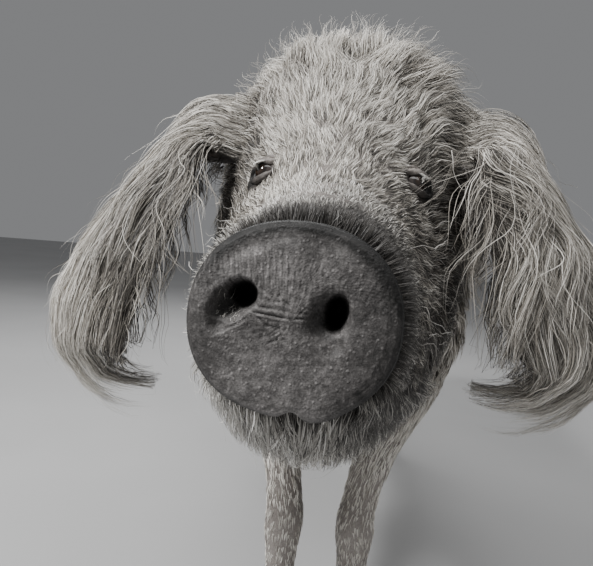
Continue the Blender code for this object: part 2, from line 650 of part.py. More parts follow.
def dew_place(rows, side, stance, outward):
    """Where a dew claw leaves the back of the foot, and which way it points."""
    middle, _, deep = leg_station(rows, side, stance, 0.078)
    way = Vector((outward * 0.30, 0.66, -0.58)).normalized()
    return middle + Vector((outward * 0.0205, deep, 0)), way


def add_dew_bosses(rows, side, stance, finish, scraps):
    """The small stumps of skin behind the foot that carry the dew claws."""
    for outward in (-1, 1):
        root, way = dew_place(rows, side, stance, outward)
        cone("dew_boss", root - way * 0.030, root, 0.013, 0.0112, finish, scraps)


def cone(name, start, end, start_radius, end_radius, finish, collection):
    work = bmesh.new()
    turn = (end - start).to_track_quat("Z", "Y").to_matrix().to_4x4()
    place = Matrix.Translation((start + end) / 2) @ turn
    bmesh.ops.create_cone(work, cap_ends=True, segments=8, radius1=start_radius, radius2=end_radius,
                          depth=(end - start).length, matrix=place)
    return new_object(name, work, finish, collection)


def bar(name, path, radii, finish, collection, closed=False):
    """A round bar along a path of points, with flat ends, or closed into a ring."""
    line = bpy.data.curves.new(name, "CURVE")
    line.dimensions = "3D"
    line.bevel_depth = 1.0
    line.bevel_resolution = 1
    line.use_fill_caps = not closed
    spline = line.splines.new("POLY")
    spline.points.add(len(path) - 1)
    for point, place, radius in zip(spline.points, path, radii):
        point.co = (*place, 1)
        point.radius = radius
    spline.use_cyclic_u = closed
    drawn = bpy.data.objects.new(name, line)
    collection.objects.link(drawn)
    bpy.context.view_layer.update()
    data = bpy.data.meshes.new_from_object(drawn.evaluated_get(bpy.context.evaluated_depsgraph_get()))
    bpy.data.objects.remove(drawn)
    work = bmesh.new()
    work.from_mesh(data)
    bmesh.ops.remove_doubles(work, verts=work.verts, dist=1e-6)
    return new_object(name, work, finish, collection)


def tail_path(count):
    """Points evenly spread along the tail's smooth middle line."""
    corners = np.array(TAIL_MIDDLE)
    steps = np.linalg.norm(np.diff(corners, axis=0), axis=1)
    along = np.concatenate([[0], np.cumsum(steps)])
    curves = [curve_through(list(zip(along, corners[:, k]))) for k in range(3)]
    return [Vector([curve(at) for curve in curves]) for at in evenly(0, along[-1], count)]


def tassel_lock(path, index, turn, finish, collection):
    """A lock of the tail's tassel: it leaves the tail at a low angle and hangs past its end."""
    way = (path[index + 1] - path[index - 1]).normalized()
    first = way.orthogonal().normalized()
    outward = first * math.cos(turn) + way.cross(first) * math.sin(turn)
    sections = []
    for t, width, lift, depth in LOCK_STATIONS:
        out = TAIL_RADII[index] * (0.3 if lift < 0 else 0.95 + 0.55 * lift * (1 - lift))
        hang = way.lerp(Vector((0, 0.05, -1)), t).normalized()
        middle = path[index] + hang * 0.105 * t + outward * out
        across = hang.cross(outward).normalized() * 0.008 * width
        sections.append([middle - across, middle + outward * 0.005 * depth, middle + across])
    lock(sections, finish, collection)


def move_to_origin(parts):
    """Puts the origin on the floor under the middle of the whole animal."""
    corners = [obj.matrix_world @ vert.co for obj in parts.objects for vert in obj.data.vertices]
    low = Vector([min(c[k] for c in corners) for k in range(3)])
    high = Vector([max(c[k] for c in corners) for k in range(3)])
    shift = Vector((-(low.x + high.x) / 2, -(low.y + high.y) / 2, -low.z))
    for obj in parts.objects:
        obj.data.transform(Matrix.Translation(shift))
        obj.data.shade_smooth()
        obj.data.set_sharp_from_angle(angle=math.radians(40))
    print("moved by", [round(v, 4) for v in shift])


def main():
    for old in list(bpy.data.objects):
        bpy.data.objects.remove(old)
    parts, scraps = new_collection("pig"), new_collection("pieces")
    skin = material("coat", COAT_COLOUR, 0.8)
    dark = material("snout_skin", SNOUT_COLOUR, 0.5)
    horn = material("hoof", HOOF_COLOUR, 0.45)
    wet = material("eye", EYE_COLOUR, 0.08)

    head(skin, parts, scraps)
    snout(dark, parts, scraps)
    for side, hand in ((1, "left"), (-1, "right")):
        ear(side, f"ear_{hand}", skin, parts, scraps)
        ball(mirrored(EYE_CENTRE, side), [EYE_RADIUS] * 3, wet, parts, f"eye_{hand}")
    neck = trunk_part("neck", HEAD_END, NECK_END, 5, skin, parts)
    plant_rows("neck", NECK_ROWS, HEAD_END, skin, scraps)
    boolean(neck, scraps, "UNION")
    shoulders = trunk_part("shoulders", NECK_END, SHOULDER_END, 6, skin, parts)
    barrel = trunk_part("barrel", SHOULDER_END, BARREL_END, 5, skin, parts)
    plant_rows("barrel", BARREL_ROWS, SHOULDER_END, skin, scraps)
    boolean(barrel, scraps, "UNION")
    rump = trunk_part("hindquarters", BARREL_END, RUMP_END, 10, skin, parts)
    for side in (-1, 1):
        add_leg_stub(FORELEG, side, skin, scraps)
    plant_rows("shoulders", SHOULDER_ROWS, NECK_END, skin, scraps)
    boolean(shoulders, scraps, "UNION")
    for side in (-1, 1):
        add_leg_stub(HINDLEG, side, skin, scraps)
    plant_rows("hindquarters", RUMP_ROWS, BARREL_END, skin, scraps)
    path = tail_path(len(TAIL_RADII))
    way = (path[1] - path[0]).normalized()
    cone("tail_root", path[0] - way * 0.08, path[0], 0.028, TAIL_RADII[0], skin, scraps)
    boolean(rump, scraps, "UNION")
    path[0] += way * GAP
    tail = bar("tail", path, TAIL_RADII, skin, parts)
    for index in (6, 8):
        for turn in range(3):
            tassel_lock(path, index, math.tau * (turn + index / 4) / 3, skin, scraps)
    boolean(tail, scraps, "UNION")
    for end, rows in (("front", FORELEG), ("hind", HINDLEG)):
        for side, hand in ((1, "left"), (-1, "right")):
            name = f"{end}_{hand}"
            limb = leg(f"leg_{name}", rows, side, STANCE[name], skin, parts)
            add_dew_bosses(rows, side, STANCE[name], skin, scraps)
            boolean(limb, scraps, "UNION")
            foot(name, rows, side, STANCE[name], horn, parts)
    bpy.data.collections.remove(scraps)
    move_to_origin(parts)


main()
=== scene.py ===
# %% [markdown]
# # A long-haired, lop-eared pig, cell by cell
#
# The pig's solids are already made and packed, and this file dresses them: one bare skin, a fine snout, wet
# eyes, hooves, and a coat in which every hair is a thin strip of mesh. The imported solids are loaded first,
# because each piece has to sit where they are. All the shapes below are worked out in "snout coordinates",
# where Y is counted from the face of the snout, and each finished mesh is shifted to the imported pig's place
# at the very end.

import json
import math

import bmesh
import bpy
import numpy as np
from mathutils import Matrix, Vector

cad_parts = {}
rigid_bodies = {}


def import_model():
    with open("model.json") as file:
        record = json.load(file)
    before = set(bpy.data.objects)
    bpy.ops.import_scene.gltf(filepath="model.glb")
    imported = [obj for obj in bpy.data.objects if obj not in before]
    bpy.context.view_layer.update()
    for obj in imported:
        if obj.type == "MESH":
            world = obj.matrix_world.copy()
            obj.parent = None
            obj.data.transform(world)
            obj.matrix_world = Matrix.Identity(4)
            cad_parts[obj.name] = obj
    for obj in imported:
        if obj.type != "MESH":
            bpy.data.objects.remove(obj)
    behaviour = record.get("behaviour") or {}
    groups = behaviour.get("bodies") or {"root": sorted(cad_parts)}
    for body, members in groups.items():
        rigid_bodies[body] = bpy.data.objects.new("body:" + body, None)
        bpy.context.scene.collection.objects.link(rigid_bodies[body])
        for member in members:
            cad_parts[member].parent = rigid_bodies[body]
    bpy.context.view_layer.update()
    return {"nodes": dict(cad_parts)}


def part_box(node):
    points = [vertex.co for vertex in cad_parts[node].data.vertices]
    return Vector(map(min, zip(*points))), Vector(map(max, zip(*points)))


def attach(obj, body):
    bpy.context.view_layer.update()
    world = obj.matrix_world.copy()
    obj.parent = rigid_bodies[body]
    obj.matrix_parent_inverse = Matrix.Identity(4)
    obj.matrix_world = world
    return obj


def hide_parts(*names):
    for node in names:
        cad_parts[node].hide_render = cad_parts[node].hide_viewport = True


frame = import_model()
EYE_CENTRE = np.array((0.0620, 0.2215, 0.6975))
low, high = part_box("eye_left")
SHIFT = np.array((low + high) / 2) - EYE_CENTRE
print("from snout coordinates to the packed pig:", SHIFT.round(4))

# %% [markdown]
# ## The camera
#
# The picture was taken from a hand's length in front of the snout with a fairly wide lens, which is why the
# snout looks so large. The place, turn and lens below were found by matching the snout's disc, the eyes and
# the crown to where they are in the picture. The camera leans a few degrees to one side, so its three
# directions are written as a matrix, which says more plainly what a lean does than three Euler angles would.

# %% Set the camera
CAMERA_PLACE = np.array((0.0297, -0.2397, 0.6436))
TURN, NOD, LEAN = math.radians(7.18), math.radians(4.76), math.radians(5.53)
FOCAL_PIXELS, PICTURE_WIDTH = 521.5, 593
ahead = Vector((-math.sin(TURN) * math.cos(NOD), math.cos(TURN) * math.cos(NOD), -math.sin(NOD)))
level = Vector((math.cos(TURN), math.sin(TURN), 0))
above = level.cross(ahead)
right = level * math.cos(LEAN) + above * math.sin(LEAN)
upright = right.cross(ahead)
lens = bpy.data.cameras.new("camera")
lens.sensor_width = 36
lens.lens = lens.sensor_width * FOCAL_PIXELS / PICTURE_WIDTH
lens.clip_start = 0.01
camera = bpy.data.objects.new("camera", lens)
turn = Matrix((right, upright, -ahead)).transposed().to_4x4()
camera.matrix_world = Matrix.Translation(CAMERA_PLACE + SHIFT) @ turn
bpy.context.scene.collection.objects.link(camera)
bpy.context.scene.camera = camera
print("lens", round(lens.lens, 1), "mm")

# %% [markdown]
# ## Writing materials as sums
#
# A material is a net of nodes, and most of it is plain arithmetic. The small class below wraps one socket, so
# that `1 - mask * 0.5` adds the Math nodes by itself. Every other node comes from `Finish.node`, which sets
# the node's own settings first and then fills or links its sockets.

# %% A socket that can be added and multiplied
class Value:
    def __init__(self, finish, socket):
        self.finish = finish
        self.socket = socket

    def math(self, operation, first, second):
        return self.finish.node("ShaderNodeMath", {"operation": operation}, {0: first, 1: second})

    def __add__(self, other):
        return self.math("ADD", self, other)

    def __sub__(self, other):
        return self.math("SUBTRACT", self, other)

    def __rsub__(self, other):
        return self.math("SUBTRACT", other, self)

    def __mul__(self, other):
        return self.math("MULTIPLY", self, other)

    __radd__ = __add__
    __rmul__ = __mul__


# %% A material with one way of adding nodes
class Finish:
    def __init__(self, name, **constants):
        self.material = bpy.data.materials.new(name)
        self.material.use_nodes = True
        self.tree = self.material.node_tree
        self.shader = self.tree.nodes["Principled BSDF"]
        for socket, value in constants.items():
            self.shader.inputs[socket.replace("_", " ")].default_value = value

    def node(self, kind, settings=None, sockets=None, output=0):
        made = self.tree.nodes.new(kind)
        for key, value in (settings or {}).items():
            if key == "stops":
                self.set_stops(made.color_ramp, value)
            else:
                setattr(made, key, value)
        for key, value in (sockets or {}).items():
            self.fill(made.inputs[key], value)
        return Value(self, made.outputs[output])

    def set_stops(self, ramp, stops):
        while len(ramp.elements) < len(stops):
            ramp.elements.new(1.0)
        for element, (at, colour) in zip(ramp.elements, stops):
            element.position = at
            element.color = (*colour, 1.0)

    def fill(self, socket, value):
        if isinstance(value, Value):
            self.tree.links.new(value.socket, socket)
        else:
            socket.default_value = value

    def noise(self, scale, detail=3.0, stretch=(1, 1, 1)):
        place = self.node("ShaderNodeTexCoord", output="Object")
        place = self.node("ShaderNodeMapping", sockets={"Vector": place, "Scale": stretch})
        return self.node("ShaderNodeTexNoise", sockets={"Vector": place, "Scale": scale, "Detail": detail})

    def stored(self):
        """The tone that was stored with each point."""
        return self.node("ShaderNodeAttribute", {"attribute_name": "tone"}, output="Fac")

    def colours(self, amount, stops):
        return self.node("ShaderNodeValToRGB", {"stops": stops}, {"Fac": amount})

    def bump(self, height, strength, distance):
        return self.node("ShaderNodeBump",
                         sockets={"Strength": strength, "Distance": distance, "Height": height})

    def use(self, **sockets):
        for key, value in sockets.items():
            self.fill(self.shader.inputs[key.replace("_", " ")], value)


# %% [markdown]
# ## Floor and light
#
# A museum model stands on a plain pale floor. A pale sky lights it from all round, and the main lamp hangs
# high on the picture's left, which leaves the cheek on the right in shade. It's small, so single hairs cast
# shadows too.

# %% Lay the floor and hang the lamps
def draft(work, name, collection=None):
    """A plain object from a bmesh, which is freed."""
    data = bpy.data.meshes.new(name)
    work.to_mesh(data)
    work.free()
    made = bpy.data.objects.new(name, data)
    (collection or bpy.context.scene.collection).objects.link(made)
    return made


work = bmesh.new()
bmesh.ops.create_circle(work, cap_ends=True, segments=96, radius=14)
floor = draft(work, "floor")
floor_finish = Finish("pale_floor", Roughness=0.75)
cloudy = floor_finish.noise(1.5)
floor_finish.use(Base_Color=floor_finish.colours(cloudy, (
    (0.3, (0.38, 0.38, 0.38)), (0.7, (0.42, 0.42, 0.42)))))
floor.data.materials.append(floor_finish.material)


def lamp(name, place, aim, size, power):
    light = bpy.data.lights.new(name, "AREA")
    light.size = size
    light.energy = power
    holder = bpy.data.objects.new(name, light)
    holder.location = Vector(place) + Vector(SHIFT)
    holder.rotation_euler = (Vector(aim) - Vector(place)).to_track_quat("-Z", "Y").to_euler()
    bpy.context.scene.collection.objects.link(holder)


lamp("key", (-1.7, -1.0, 2.7), (0, 0.2, 0.65), 0.5, 150)
lamp("overhead", (0.6, 0.3, 3.2), (0, 0.4, 0.65), 2.6, 50)
lamp("back", (-0.8, 3.2, 2.8), (0, 0.7, 0.7), 2.0, 60)
sky = bpy.data.worlds.new("sky")
sky.use_nodes = True
glow = sky.node_tree.nodes["Background"].inputs
glow["Color"].default_value = (0.80, 0.81, 0.83, 1)
glow["Strength"].default_value = 0.27
bpy.context.scene.world = sky
print("floor and", len(bpy.data.lights), "lamps")

# %% [markdown]
# ## Outlines of the body
#
# A pig's trunk is a smooth barrel, so it's enough to know the line of its back, the line of its belly, how
# wide it is and how round, each as a few numbers along its length. A curve through those numbers gives the
# rest. They are the same numbers as the solids were made from.

# %% Curves through a few numbers
def curve_through(points):
    at, value = np.array(points, float).T
    slope = np.diff(value) / np.diff(at)
    tangent = np.concatenate([slope[:1], (slope[1:] + slope[:-1]) / 2, slope[-1:]])
    tangent[1:-1][slope[1:] * slope[:-1] <= 0] = 0

    def read(x):
        x = np.clip(x, at[0], at[-1])
        i = np.clip(np.searchsorted(at, x, side="right") - 1, 0, len(slope) - 1)
        step = at[i + 1] - at[i]
        t = (x - at[i]) / step
        start = value[i] + tangent[i] * step * t
        end = value[i + 1] - tangent[i + 1] * step * (1 - t)
        blend = t * t * (3 - 2 * t)
        return start * (1 - blend) + end * blend

    return read


back_line = curve_through((
    (0.016, 0.652), (0.05, 0.658), (0.09, 0.668), (0.13, 0.686), (0.17, 0.712), (0.21, 0.745), (0.25, 0.782),
    (0.29, 0.820), (0.33, 0.846), (0.38, 0.852), (0.46, 0.848), (0.58, 0.848), (0.72, 0.854), (0.90, 0.861),
    (1.10, 0.862), (1.25, 0.855), (1.38, 0.836), (1.48, 0.804), (1.56, 0.770), (1.61, 0.722), (1.632, 0.67)))
belly_line = curve_through((
    (0.016, 0.562), (0.05, 0.534), (0.09, 0.511), (0.14, 0.497), (0.20, 0.488), (0.26, 0.482), (0.32, 0.478),
    (0.40, 0.470), (0.50, 0.450), (0.60, 0.428), (0.72, 0.406), (0.90, 0.376), (1.10, 0.362), (1.22, 0.374),
    (1.33, 0.402), (1.44, 0.436), (1.54, 0.485), (1.60, 0.555), (1.632, 0.62)))
half_width = curve_through((
    (0.016, 0.048), (0.05, 0.054), (0.09, 0.062), (0.13, 0.072), (0.17, 0.084), (0.21, 0.096), (0.25, 0.108),
    (0.30, 0.120), (0.35, 0.128), (0.42, 0.140), (0.50, 0.156), (0.60, 0.178), (0.70, 0.192), (0.85, 0.200),
    (1.00, 0.208), (1.15, 0.212), (1.28, 0.206), (1.40, 0.194), (1.50, 0.165), (1.58, 0.117), (1.632, 0.03)))
widest_at = curve_through((
    (0.016, 0.606), (0.09, 0.600), (0.17, 0.590), (0.25, 0.580), (0.33, 0.590), (0.45, 0.610), (0.60, 0.625),
    (0.80, 0.620), (1.10, 0.610), (1.30, 0.620), (1.50, 0.640), (1.632, 0.640)))
print("back", round(float(back_line(0.9)), 3), "m above the floor, belly", round(float(belly_line(0.9)), 3))

# %% How round the sections are, and how deep the coat lies
upper_roundness = curve_through((
    (0.016, 2.1), (0.10, 2.0), (0.20, 1.75), (0.235, 1.85), (0.275, 2.3), (0.33, 2.9), (0.40, 2.7),
    (0.55, 2.2), (0.70, 2.0), (1.632, 2.1)))
lower_roundness = curve_through((
    (0.016, 2.1), (0.10, 2.2), (0.20, 2.3), (0.30, 2.4), (0.60, 2.2), (1.10, 2.3), (1.632, 2.2)))
coat_on_back = curve_through((
    (0.016, 0.001), (0.08, 0.003), (0.18, 0.007), (0.27, 0.018), (0.33, 0.034), (0.42, 0.034), (0.60, 0.032),
    (1.10, 0.028), (1.45, 0.026), (1.632, 0.018)))
coat_below = curve_through((
    (0.016, 0.001), (0.05, 0.008), (0.14, 0.016), (0.30, 0.018), (0.60, 0.016), (1.632, 0.014)))
mouth_line = curve_through(((0.016, 0.571), (0.05, 0.564), (0.09, 0.560), (0.13, 0.564), (0.17, 0.574)))
SNOUT_HEIGHT = 0.607
HEAD_FRONT = 0.016
HEAD_END = 0.42
RUMP_END = 1.632
SNOUT_TILT = 0.10
SNOUT_TILT_REACH = 0.13
MOUTH_CORNER = 0.165


def coat_depth(y, angle):
    """How far the long coat stands off the skin."""
    below = coat_below(y)
    return below + (coat_on_back(y) - below) * (0.5 + 0.5 * np.cos(angle))


# %% [markdown]
# ## From outlines to a point of the skin
#
# `trunk_skin` turns a distance behind the snout and an angle round from the back into a point. A section of
# the trunk is a superellipse, which is an ellipse whose corners can be filled out a little. `relief` then
# adds what makes it a pig's head: hollow eyes under heavy brows, cheeks, lips, and the folds across the
# bridge of the nose.

# %% Small shapers
def signed_power(value, power):
    return np.sign(value) * np.abs(value) ** power


def bump(distance, reach):
    return np.exp(-((distance / reach) ** 2))


def ramp(value, start, end):
    t = np.clip((value - start) / (end - start), 0, 1)
    return t * t * (3 - 2 * t)


def unit(vectors):
    return vectors / np.maximum(np.linalg.norm(vectors, axis=-1, keepdims=True), 1e-12)


HANDS = ((1, "left"), (-1, "right"))


def mirrored(points, side):
    return np.asarray(points) * (side, 1, 1)


def paired(first, second):
    """Two numbers or arrays as float arrays of one shape."""
    return np.broadcast_arrays(np.asarray(first, float), np.asarray(second, float))


# %% The relief of the head
# Each fold across the bridge: how far behind the disc, height, breadth
BRIDGE_FOLDS = ((0.108, 0.0022, 0.0065), (0.128, 0.0018, 0.0055), (0.150, 0.0014, 0.006),
                (0.176, 0.0010, 0.006))
LID_FOLDS = (0.020, 0.027, 0.035)


def relief(y, x, z, fine):
    """How far the head's own shapes stand off the plain barrel: brows, cheeks, lips, and the fine folds."""
    side = np.abs(x)

    def near(place, reach):
        return bump(np.sqrt((side - place[0]) ** 2 + (y - place[1]) ** 2 + (z - place[2]) ** 2), reach)

    out = -0.006 * near(EYE_CENTRE, 0.024)
    out = out + 0.007 * near(EYE_CENTRE + (-0.012, 0.012, 0.034), 0.026)
    out = out + 0.006 * near((0.10, 0.250, 0.610), 0.045)
    below = mouth_line(y) - z
    lips = np.clip((MOUTH_CORNER - y) / 0.03, 0, 1) * (z < SNOUT_HEIGHT - 0.02)
    out = out + 0.0025 * bump(np.abs(below) - 0.009, 0.006) * lips
    out = out - 0.005 * np.clip(below / 0.01, 0, 1) * np.clip((0.11 - y) / 0.05, 0, 1) * lips
    if fine:
        out = out - 0.006 * bump(below, 0.0022) * lips
        for at, height, reach in BRIDGE_FOLDS:
            wander = at + 0.006 * np.sin(x * 70 + at * 90) + 0.35 * side ** 2 / 0.1
            out = out + height * bump(y - wander, reach * 0.6) * bump(side, 0.05) * (z > SNOUT_HEIGHT)
        for lift in LID_FOLDS:
            fold = np.sqrt((side - EYE_CENTRE[0]) ** 2 + (z - EYE_CENTRE[2] + 0.004) ** 2) - lift
            out = out + 0.0012 * bump(fold, 0.0022) * near(EYE_CENTRE + (-0.004, -0.004, 0.016), 0.026)
    return np.where(y > HEAD_END, 0.0, out)


# %% Markings and painted shade shared by the skin and the coat
# Each mark: place, reach, how much paler or darker. The dark marks round the eyes, on the temples and on
# the cheeks are painted shade. The second list holds on the pig's left side only, and is partly painted
# shade, partly darker skin.
MARKS_AND_SHADE = (((0.0, 0.032, 0.656), 0.046, -0.66), ((0.036, 0.075, 0.655), 0.028, -0.24),
         ((0.0685, 0.2146, 0.7008), 0.0060, -0.50), ((0.0790, 0.2260, 0.694), 0.0085, -0.75),
         ((0.0530, 0.2075, 0.705), 0.0055, -0.55), ((0.058, 0.203, 0.719), 0.013, 0.42),
         ((0.100, 0.262, 0.695), 0.036, -0.55), ((0.085, 0.285, 0.760), 0.030, -0.26),
         ((0.034, 0.130, 0.688), 0.030, 0.10), ((0.0, 0.30, 0.84), 0.09, 0.06),
         ((0.100, 0.210, 0.600), 0.074, -0.52), ((0.075, 0.150, 0.520), 0.064, -0.52))
LEFT_MARKS_AND_SHADE = (((0.050, 0.040, 0.640), 0.046, -0.50), ((0.066, 0.060, 0.590), 0.050, -0.50),
              ((0.060, 0.060, 0.550), 0.034, -0.30), ((0.060, 0.150, 0.665), 0.042, -0.28),
              ((0.024, 0.075, 0.668), 0.032, -0.34))


def spots(points, marks):
    """The sum of soft round marks."""
    return sum(tone * bump(np.linalg.norm(points - at, axis=-1), reach) for at, reach, tone in marks)


def marking_and_shade(points):
    """How much paler or darker skin and coat are at some points. The dark marks round the eyes, on the
    temples and on the cheeks are painted shade, and those on the pig's left side are partly painted shade.
    The legs are a little paler.
    """
    folded = np.concatenate([np.abs(points[..., :1]), points[..., 1:]], -1)
    return 0.24 * ramp(-points[..., 2], -0.46, -0.38) + spots(folded, MARKS_AND_SHADE) + spots(points, LEFT_MARKS_AND_SHADE)


# %% A point of the trunk
def trunk_skin(y, angle, fine=False):
    """The skin at a distance behind the snout and an angle from the back, counted towards the pig's left."""
    y, angle = paired(y, angle)
    side, up = np.sin(angle), np.cos(angle)
    roundness = np.where(up > 0, upper_roundness(y), lower_roundness(y))
    middle = widest_at(y)
    reach = np.where(up > 0, back_line(y) - middle, middle - belly_line(y))
    x = half_width(y) * signed_power(side, 2 / roundness)
    z = middle + reach * signed_power(up, 2 / roundness)
    outward = unit(np.stack([side * reach, 0 * y, up * half_width(y)], -1))
    point = np.stack([x, y, z], -1) + outward * relief(y, x, z, fine)[..., None]
    lean = np.maximum(0, 1 - (point[..., 1] - HEAD_FRONT) / SNOUT_TILT_REACH)
    point[..., 1] += SNOUT_TILT * lean * (point[..., 2] - SNOUT_HEIGHT)
    return point


print("crown at", trunk_skin(0.35, 0.0).round(3))

# %% [markdown]
# ## Bending a grid into a body
#
# A tube such as the trunk starts as Blender's own flat grid. Each of its points has a place from 0 to 1 along
# and across, and a function moves it to where it belongs. The two long edges then meet, so they are merged,
# and the open ends are closed with a flat face. It's quicker than adding rings one by one, and it gives even
# quads.

# %% Grid to tube, and mesh to finished piece
def bent_grid(along, around, shape):
    """A grid moved by shape(rows, columns); the rows are given as places, the columns run from 0 to 1."""
    work = bmesh.new()
    bmesh.ops.create_grid(work, x_segments=len(along) - 1, y_segments=around, size=0.5)
    work.verts.ensure_lookup_table()
    flat = np.array([v.co for v in work.verts])
    rows = np.interp(flat[:, 0] + 0.5, np.linspace(0, 1, len(along)), along)
    for vert, place in zip(work.verts, shape(rows, flat[:, 1] + 0.5)):
        vert.co = place
    bmesh.ops.remove_doubles(work, verts=work.verts, dist=1e-6)
    bmesh.ops.holes_fill(work, edges=[e for e in work.edges if e.is_boundary], sides=0)
    bmesh.ops.recalc_face_normals(work, faces=work.faces)
    return work


def add_tone(data, values):
    """Stores one number with each point, for the material to read."""
    data.attributes.new("tone", "FLOAT", "POINT").data.foreach_set("value", np.asarray(values, np.float32))


def dress(made, finish, replaces=()):
    """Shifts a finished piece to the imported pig, gives it its material and lets it ride with the body."""
    made.data.transform(Matrix.Translation(SHIFT))
    made.data.materials.clear()
    made.data.materials.append(finish.material)
    made.data.shade_smooth()
    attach(made, "root")
    if replaces:
        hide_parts(*replaces)
    print(made.name, sum(len(p.vertices) - 2 for p in made.data.polygons), "triangles")
    return made


# %% [markdown]
# ## The ears
#
# A lop ear is a cupped flap that grows from the crown and hangs beside the cheek. Its middle line is a short
# list of places from the root to where its hair ends. At each place it has a width and a thickness, and it
# cups inwards. The same description serves twice: once for the flap of skin, and once for the hair, which has
# to lie on it.

# %% The ear's middle line
EAR_MIDRIB = ((0.128, 0.308, 0.748), (0.155, 0.300, 0.746), (0.184, 0.278, 0.708), (0.207, 0.254, 0.655),
              (0.221, 0.240, 0.604), (0.226, 0.234, 0.558), (0.215, 0.240, 0.522), (0.188, 0.246, 0.501),
              (0.150, 0.250, 0.499))
EAR_ACROSS = ((0.0, 0.62, 0.77), (0.10, 0.80, 0.55), (0.38, 0.88, 0.28), (0.62, 0.76, 0.12),
              (0.74, 0.66, 0.0), (0.78, 0.62, -0.10), (0.72, 0.62, -0.32), (0.45, 0.62, -0.64),
              (0.10, 0.62, -0.78))
EAR_DROOP = {1: (-0.012, 0.014), -1: (0.012, -0.014)}
STATIONS = np.arange(len(EAR_MIDRIB))


def along_ear(values):
    return curve_through(np.column_stack([STATIONS, values]))


ear_place = [along_ear([p[k] for p in EAR_MIDRIB]) for k in range(3)]
ear_across = [along_ear([p[k] for p in EAR_ACROSS]) for k in range(3)]
ear_half_width = along_ear((0.044, 0.056, 0.074, 0.082, 0.080, 0.070, 0.056, 0.044, 0.026))
ear_thickness = along_ear((0.034, 0.024, 0.015, 0.012, 0.012, 0.014, 0.014, 0.012, 0.006))
ear_cup = along_ear((0.002, 0.008, 0.018, 0.020, 0.016, 0.012, 0.008, 0.004, 0.002))
ear_flap = curve_through(((0, 1.0), (2, 1.0), (3, 0.98), (3.8, 0.88), (4.5, 0.60), (4.9, 0.25), (5.0, 0.10)))


# %% A point of the ear
def ear_skin(station, across, side, lift=0.0):
    """The flap's middle face, raised by a share of its half thickness."""
    station, across = paired(station, across)
    middle = np.stack([curve(station) for curve in ear_place], -1)
    along = unit(np.stack([curve(station + 0.1) - curve(station - 0.1) for curve in ear_place], -1))
    sideways = np.stack([curve(station) for curve in ear_across], -1)
    sideways = unit(sideways - along * np.sum(sideways * along, -1, keepdims=True))
    outward = np.cross(along, sideways)
    raised = lift * ear_thickness(station) / 2 - ear_cup(station) * across ** 2
    point = middle + sideways * (ear_half_width(station) * across)[..., None] + outward * raised[..., None]
    droop = ramp(station, 0, 3.5)[..., None] * np.array((EAR_DROOP[side][0], 0, EAR_DROOP[side][1]))
    return mirrored(point + droop, side)


def ear_face(station, across, side, lift):
    """The ear's skin, carried on into the head before its root."""
    inward = unit(ear_skin(0.1, 0, side) - ear_skin(0, 0, side))
    before = (0.05 * np.minimum(station, 0))[..., None]
    return ear_skin(np.maximum(station, 0), across, side, lift) + inward * before


def ear_tube(station, turn, side):
    """The flap as a closed tube: turn runs over the outer face and back along the inner one."""
    angle = turn * math.tau
    across = -np.cos(angle)
    share = np.where(station < 0, 0.85, ear_flap(station))
    bulge = np.sqrt(np.maximum(0, 1 - 0.93 * across ** 2))
    thick = np.sign(np.sin(angle)) * bulge * (np.abs(np.sin(angle)) > 1e-6)
    return ear_face(station, across * share, side, thick)


# %% [markdown]
# ## The legs and the tail
#
# A leg is a list of heights, each with the leg's place, width and depth there, from inside the trunk down to
# the top of the hooves. The feet stand a little ahead of or behind one another, as a standing pig's do.

# %% Legs
HOOF_TOP = 0.036
LEG_TOP = 0.395
FORELEG = ((0.600, 0.140, 0.660, 0.050, 0.105), (0.520, 0.136, 0.650, 0.056, 0.100),
           (0.450, 0.124, 0.638, 0.053, 0.086), (LEG_TOP, 0.108, 0.618, 0.046, 0.066),
           (0.345, 0.088, 0.597, 0.036, 0.049), (0.295, 0.072, 0.576, 0.029, 0.040),
           (0.245, 0.060, 0.553, 0.027, 0.034), (0.210, 0.056, 0.541, 0.029, 0.034),
           (0.165, 0.056, 0.535, 0.0235, 0.027), (0.115, 0.057, 0.527, 0.0225, 0.026),
           (0.080, 0.058, 0.517, 0.027, 0.031), (0.055, 0.059, 0.504, 0.026, 0.028),
           (HOOF_TOP, 0.060, 0.492, 0.029, 0.033))
HINDLEG = ((0.700, 0.095, 1.430, 0.050, 0.130), (0.610, 0.117, 1.440, 0.056, 0.148),
           (0.520, 0.134, 1.430, 0.060, 0.142), (0.450, 0.142, 1.408, 0.060, 0.116),
           (LEG_TOP, 0.146, 1.394, 0.054, 0.088), (0.345, 0.142, 1.400, 0.043, 0.062),
           (0.300, 0.138, 1.425, 0.034, 0.047), (0.262, 0.134, 1.447, 0.030, 0.045),
           (0.225, 0.131, 1.446, 0.027, 0.036), (0.165, 0.129, 1.428, 0.024, 0.029),
           (0.115, 0.128, 1.412, 0.024, 0.027), (0.080, 0.128, 1.402, 0.028, 0.032),
           (0.055, 0.128, 1.390, 0.026, 0.028), (HOOF_TOP, 0.128, 1.382, 0.029, 0.033))
LEGS = {"front_left": (FORELEG, 1, (0.004, 0.012)), "front_right": (FORELEG, -1, (0.008, -0.012)),
        "hind_left": (HINDLEG, 1, (0.006, 0.030)), "hind_right": (HINDLEG, -1, (-0.006, -0.045))}


def leg_skin(leg, height, angle):
    """A leg's skin at a height and an angle round it, counted from the pig's left towards its tail."""
    rows, side, stance = LEGS[leg]
    height, angle = paired(height, angle)
    heights = [row[0] for row in rows]
    across, behind, wide, deep = (curve_through(list(zip(heights[::-1], column[::-1])))(height)
                                  for column in list(zip(*rows))[1:])
    drop = np.clip((LEG_TOP - height) / (LEG_TOP - HOOF_TOP), 0, 1)
    x = side * across + stance[0] * drop + np.cos(angle) * wide
    y = behind + stance[1] * drop + np.sin(angle) * deep
    return np.stack([x, y, height], -1)


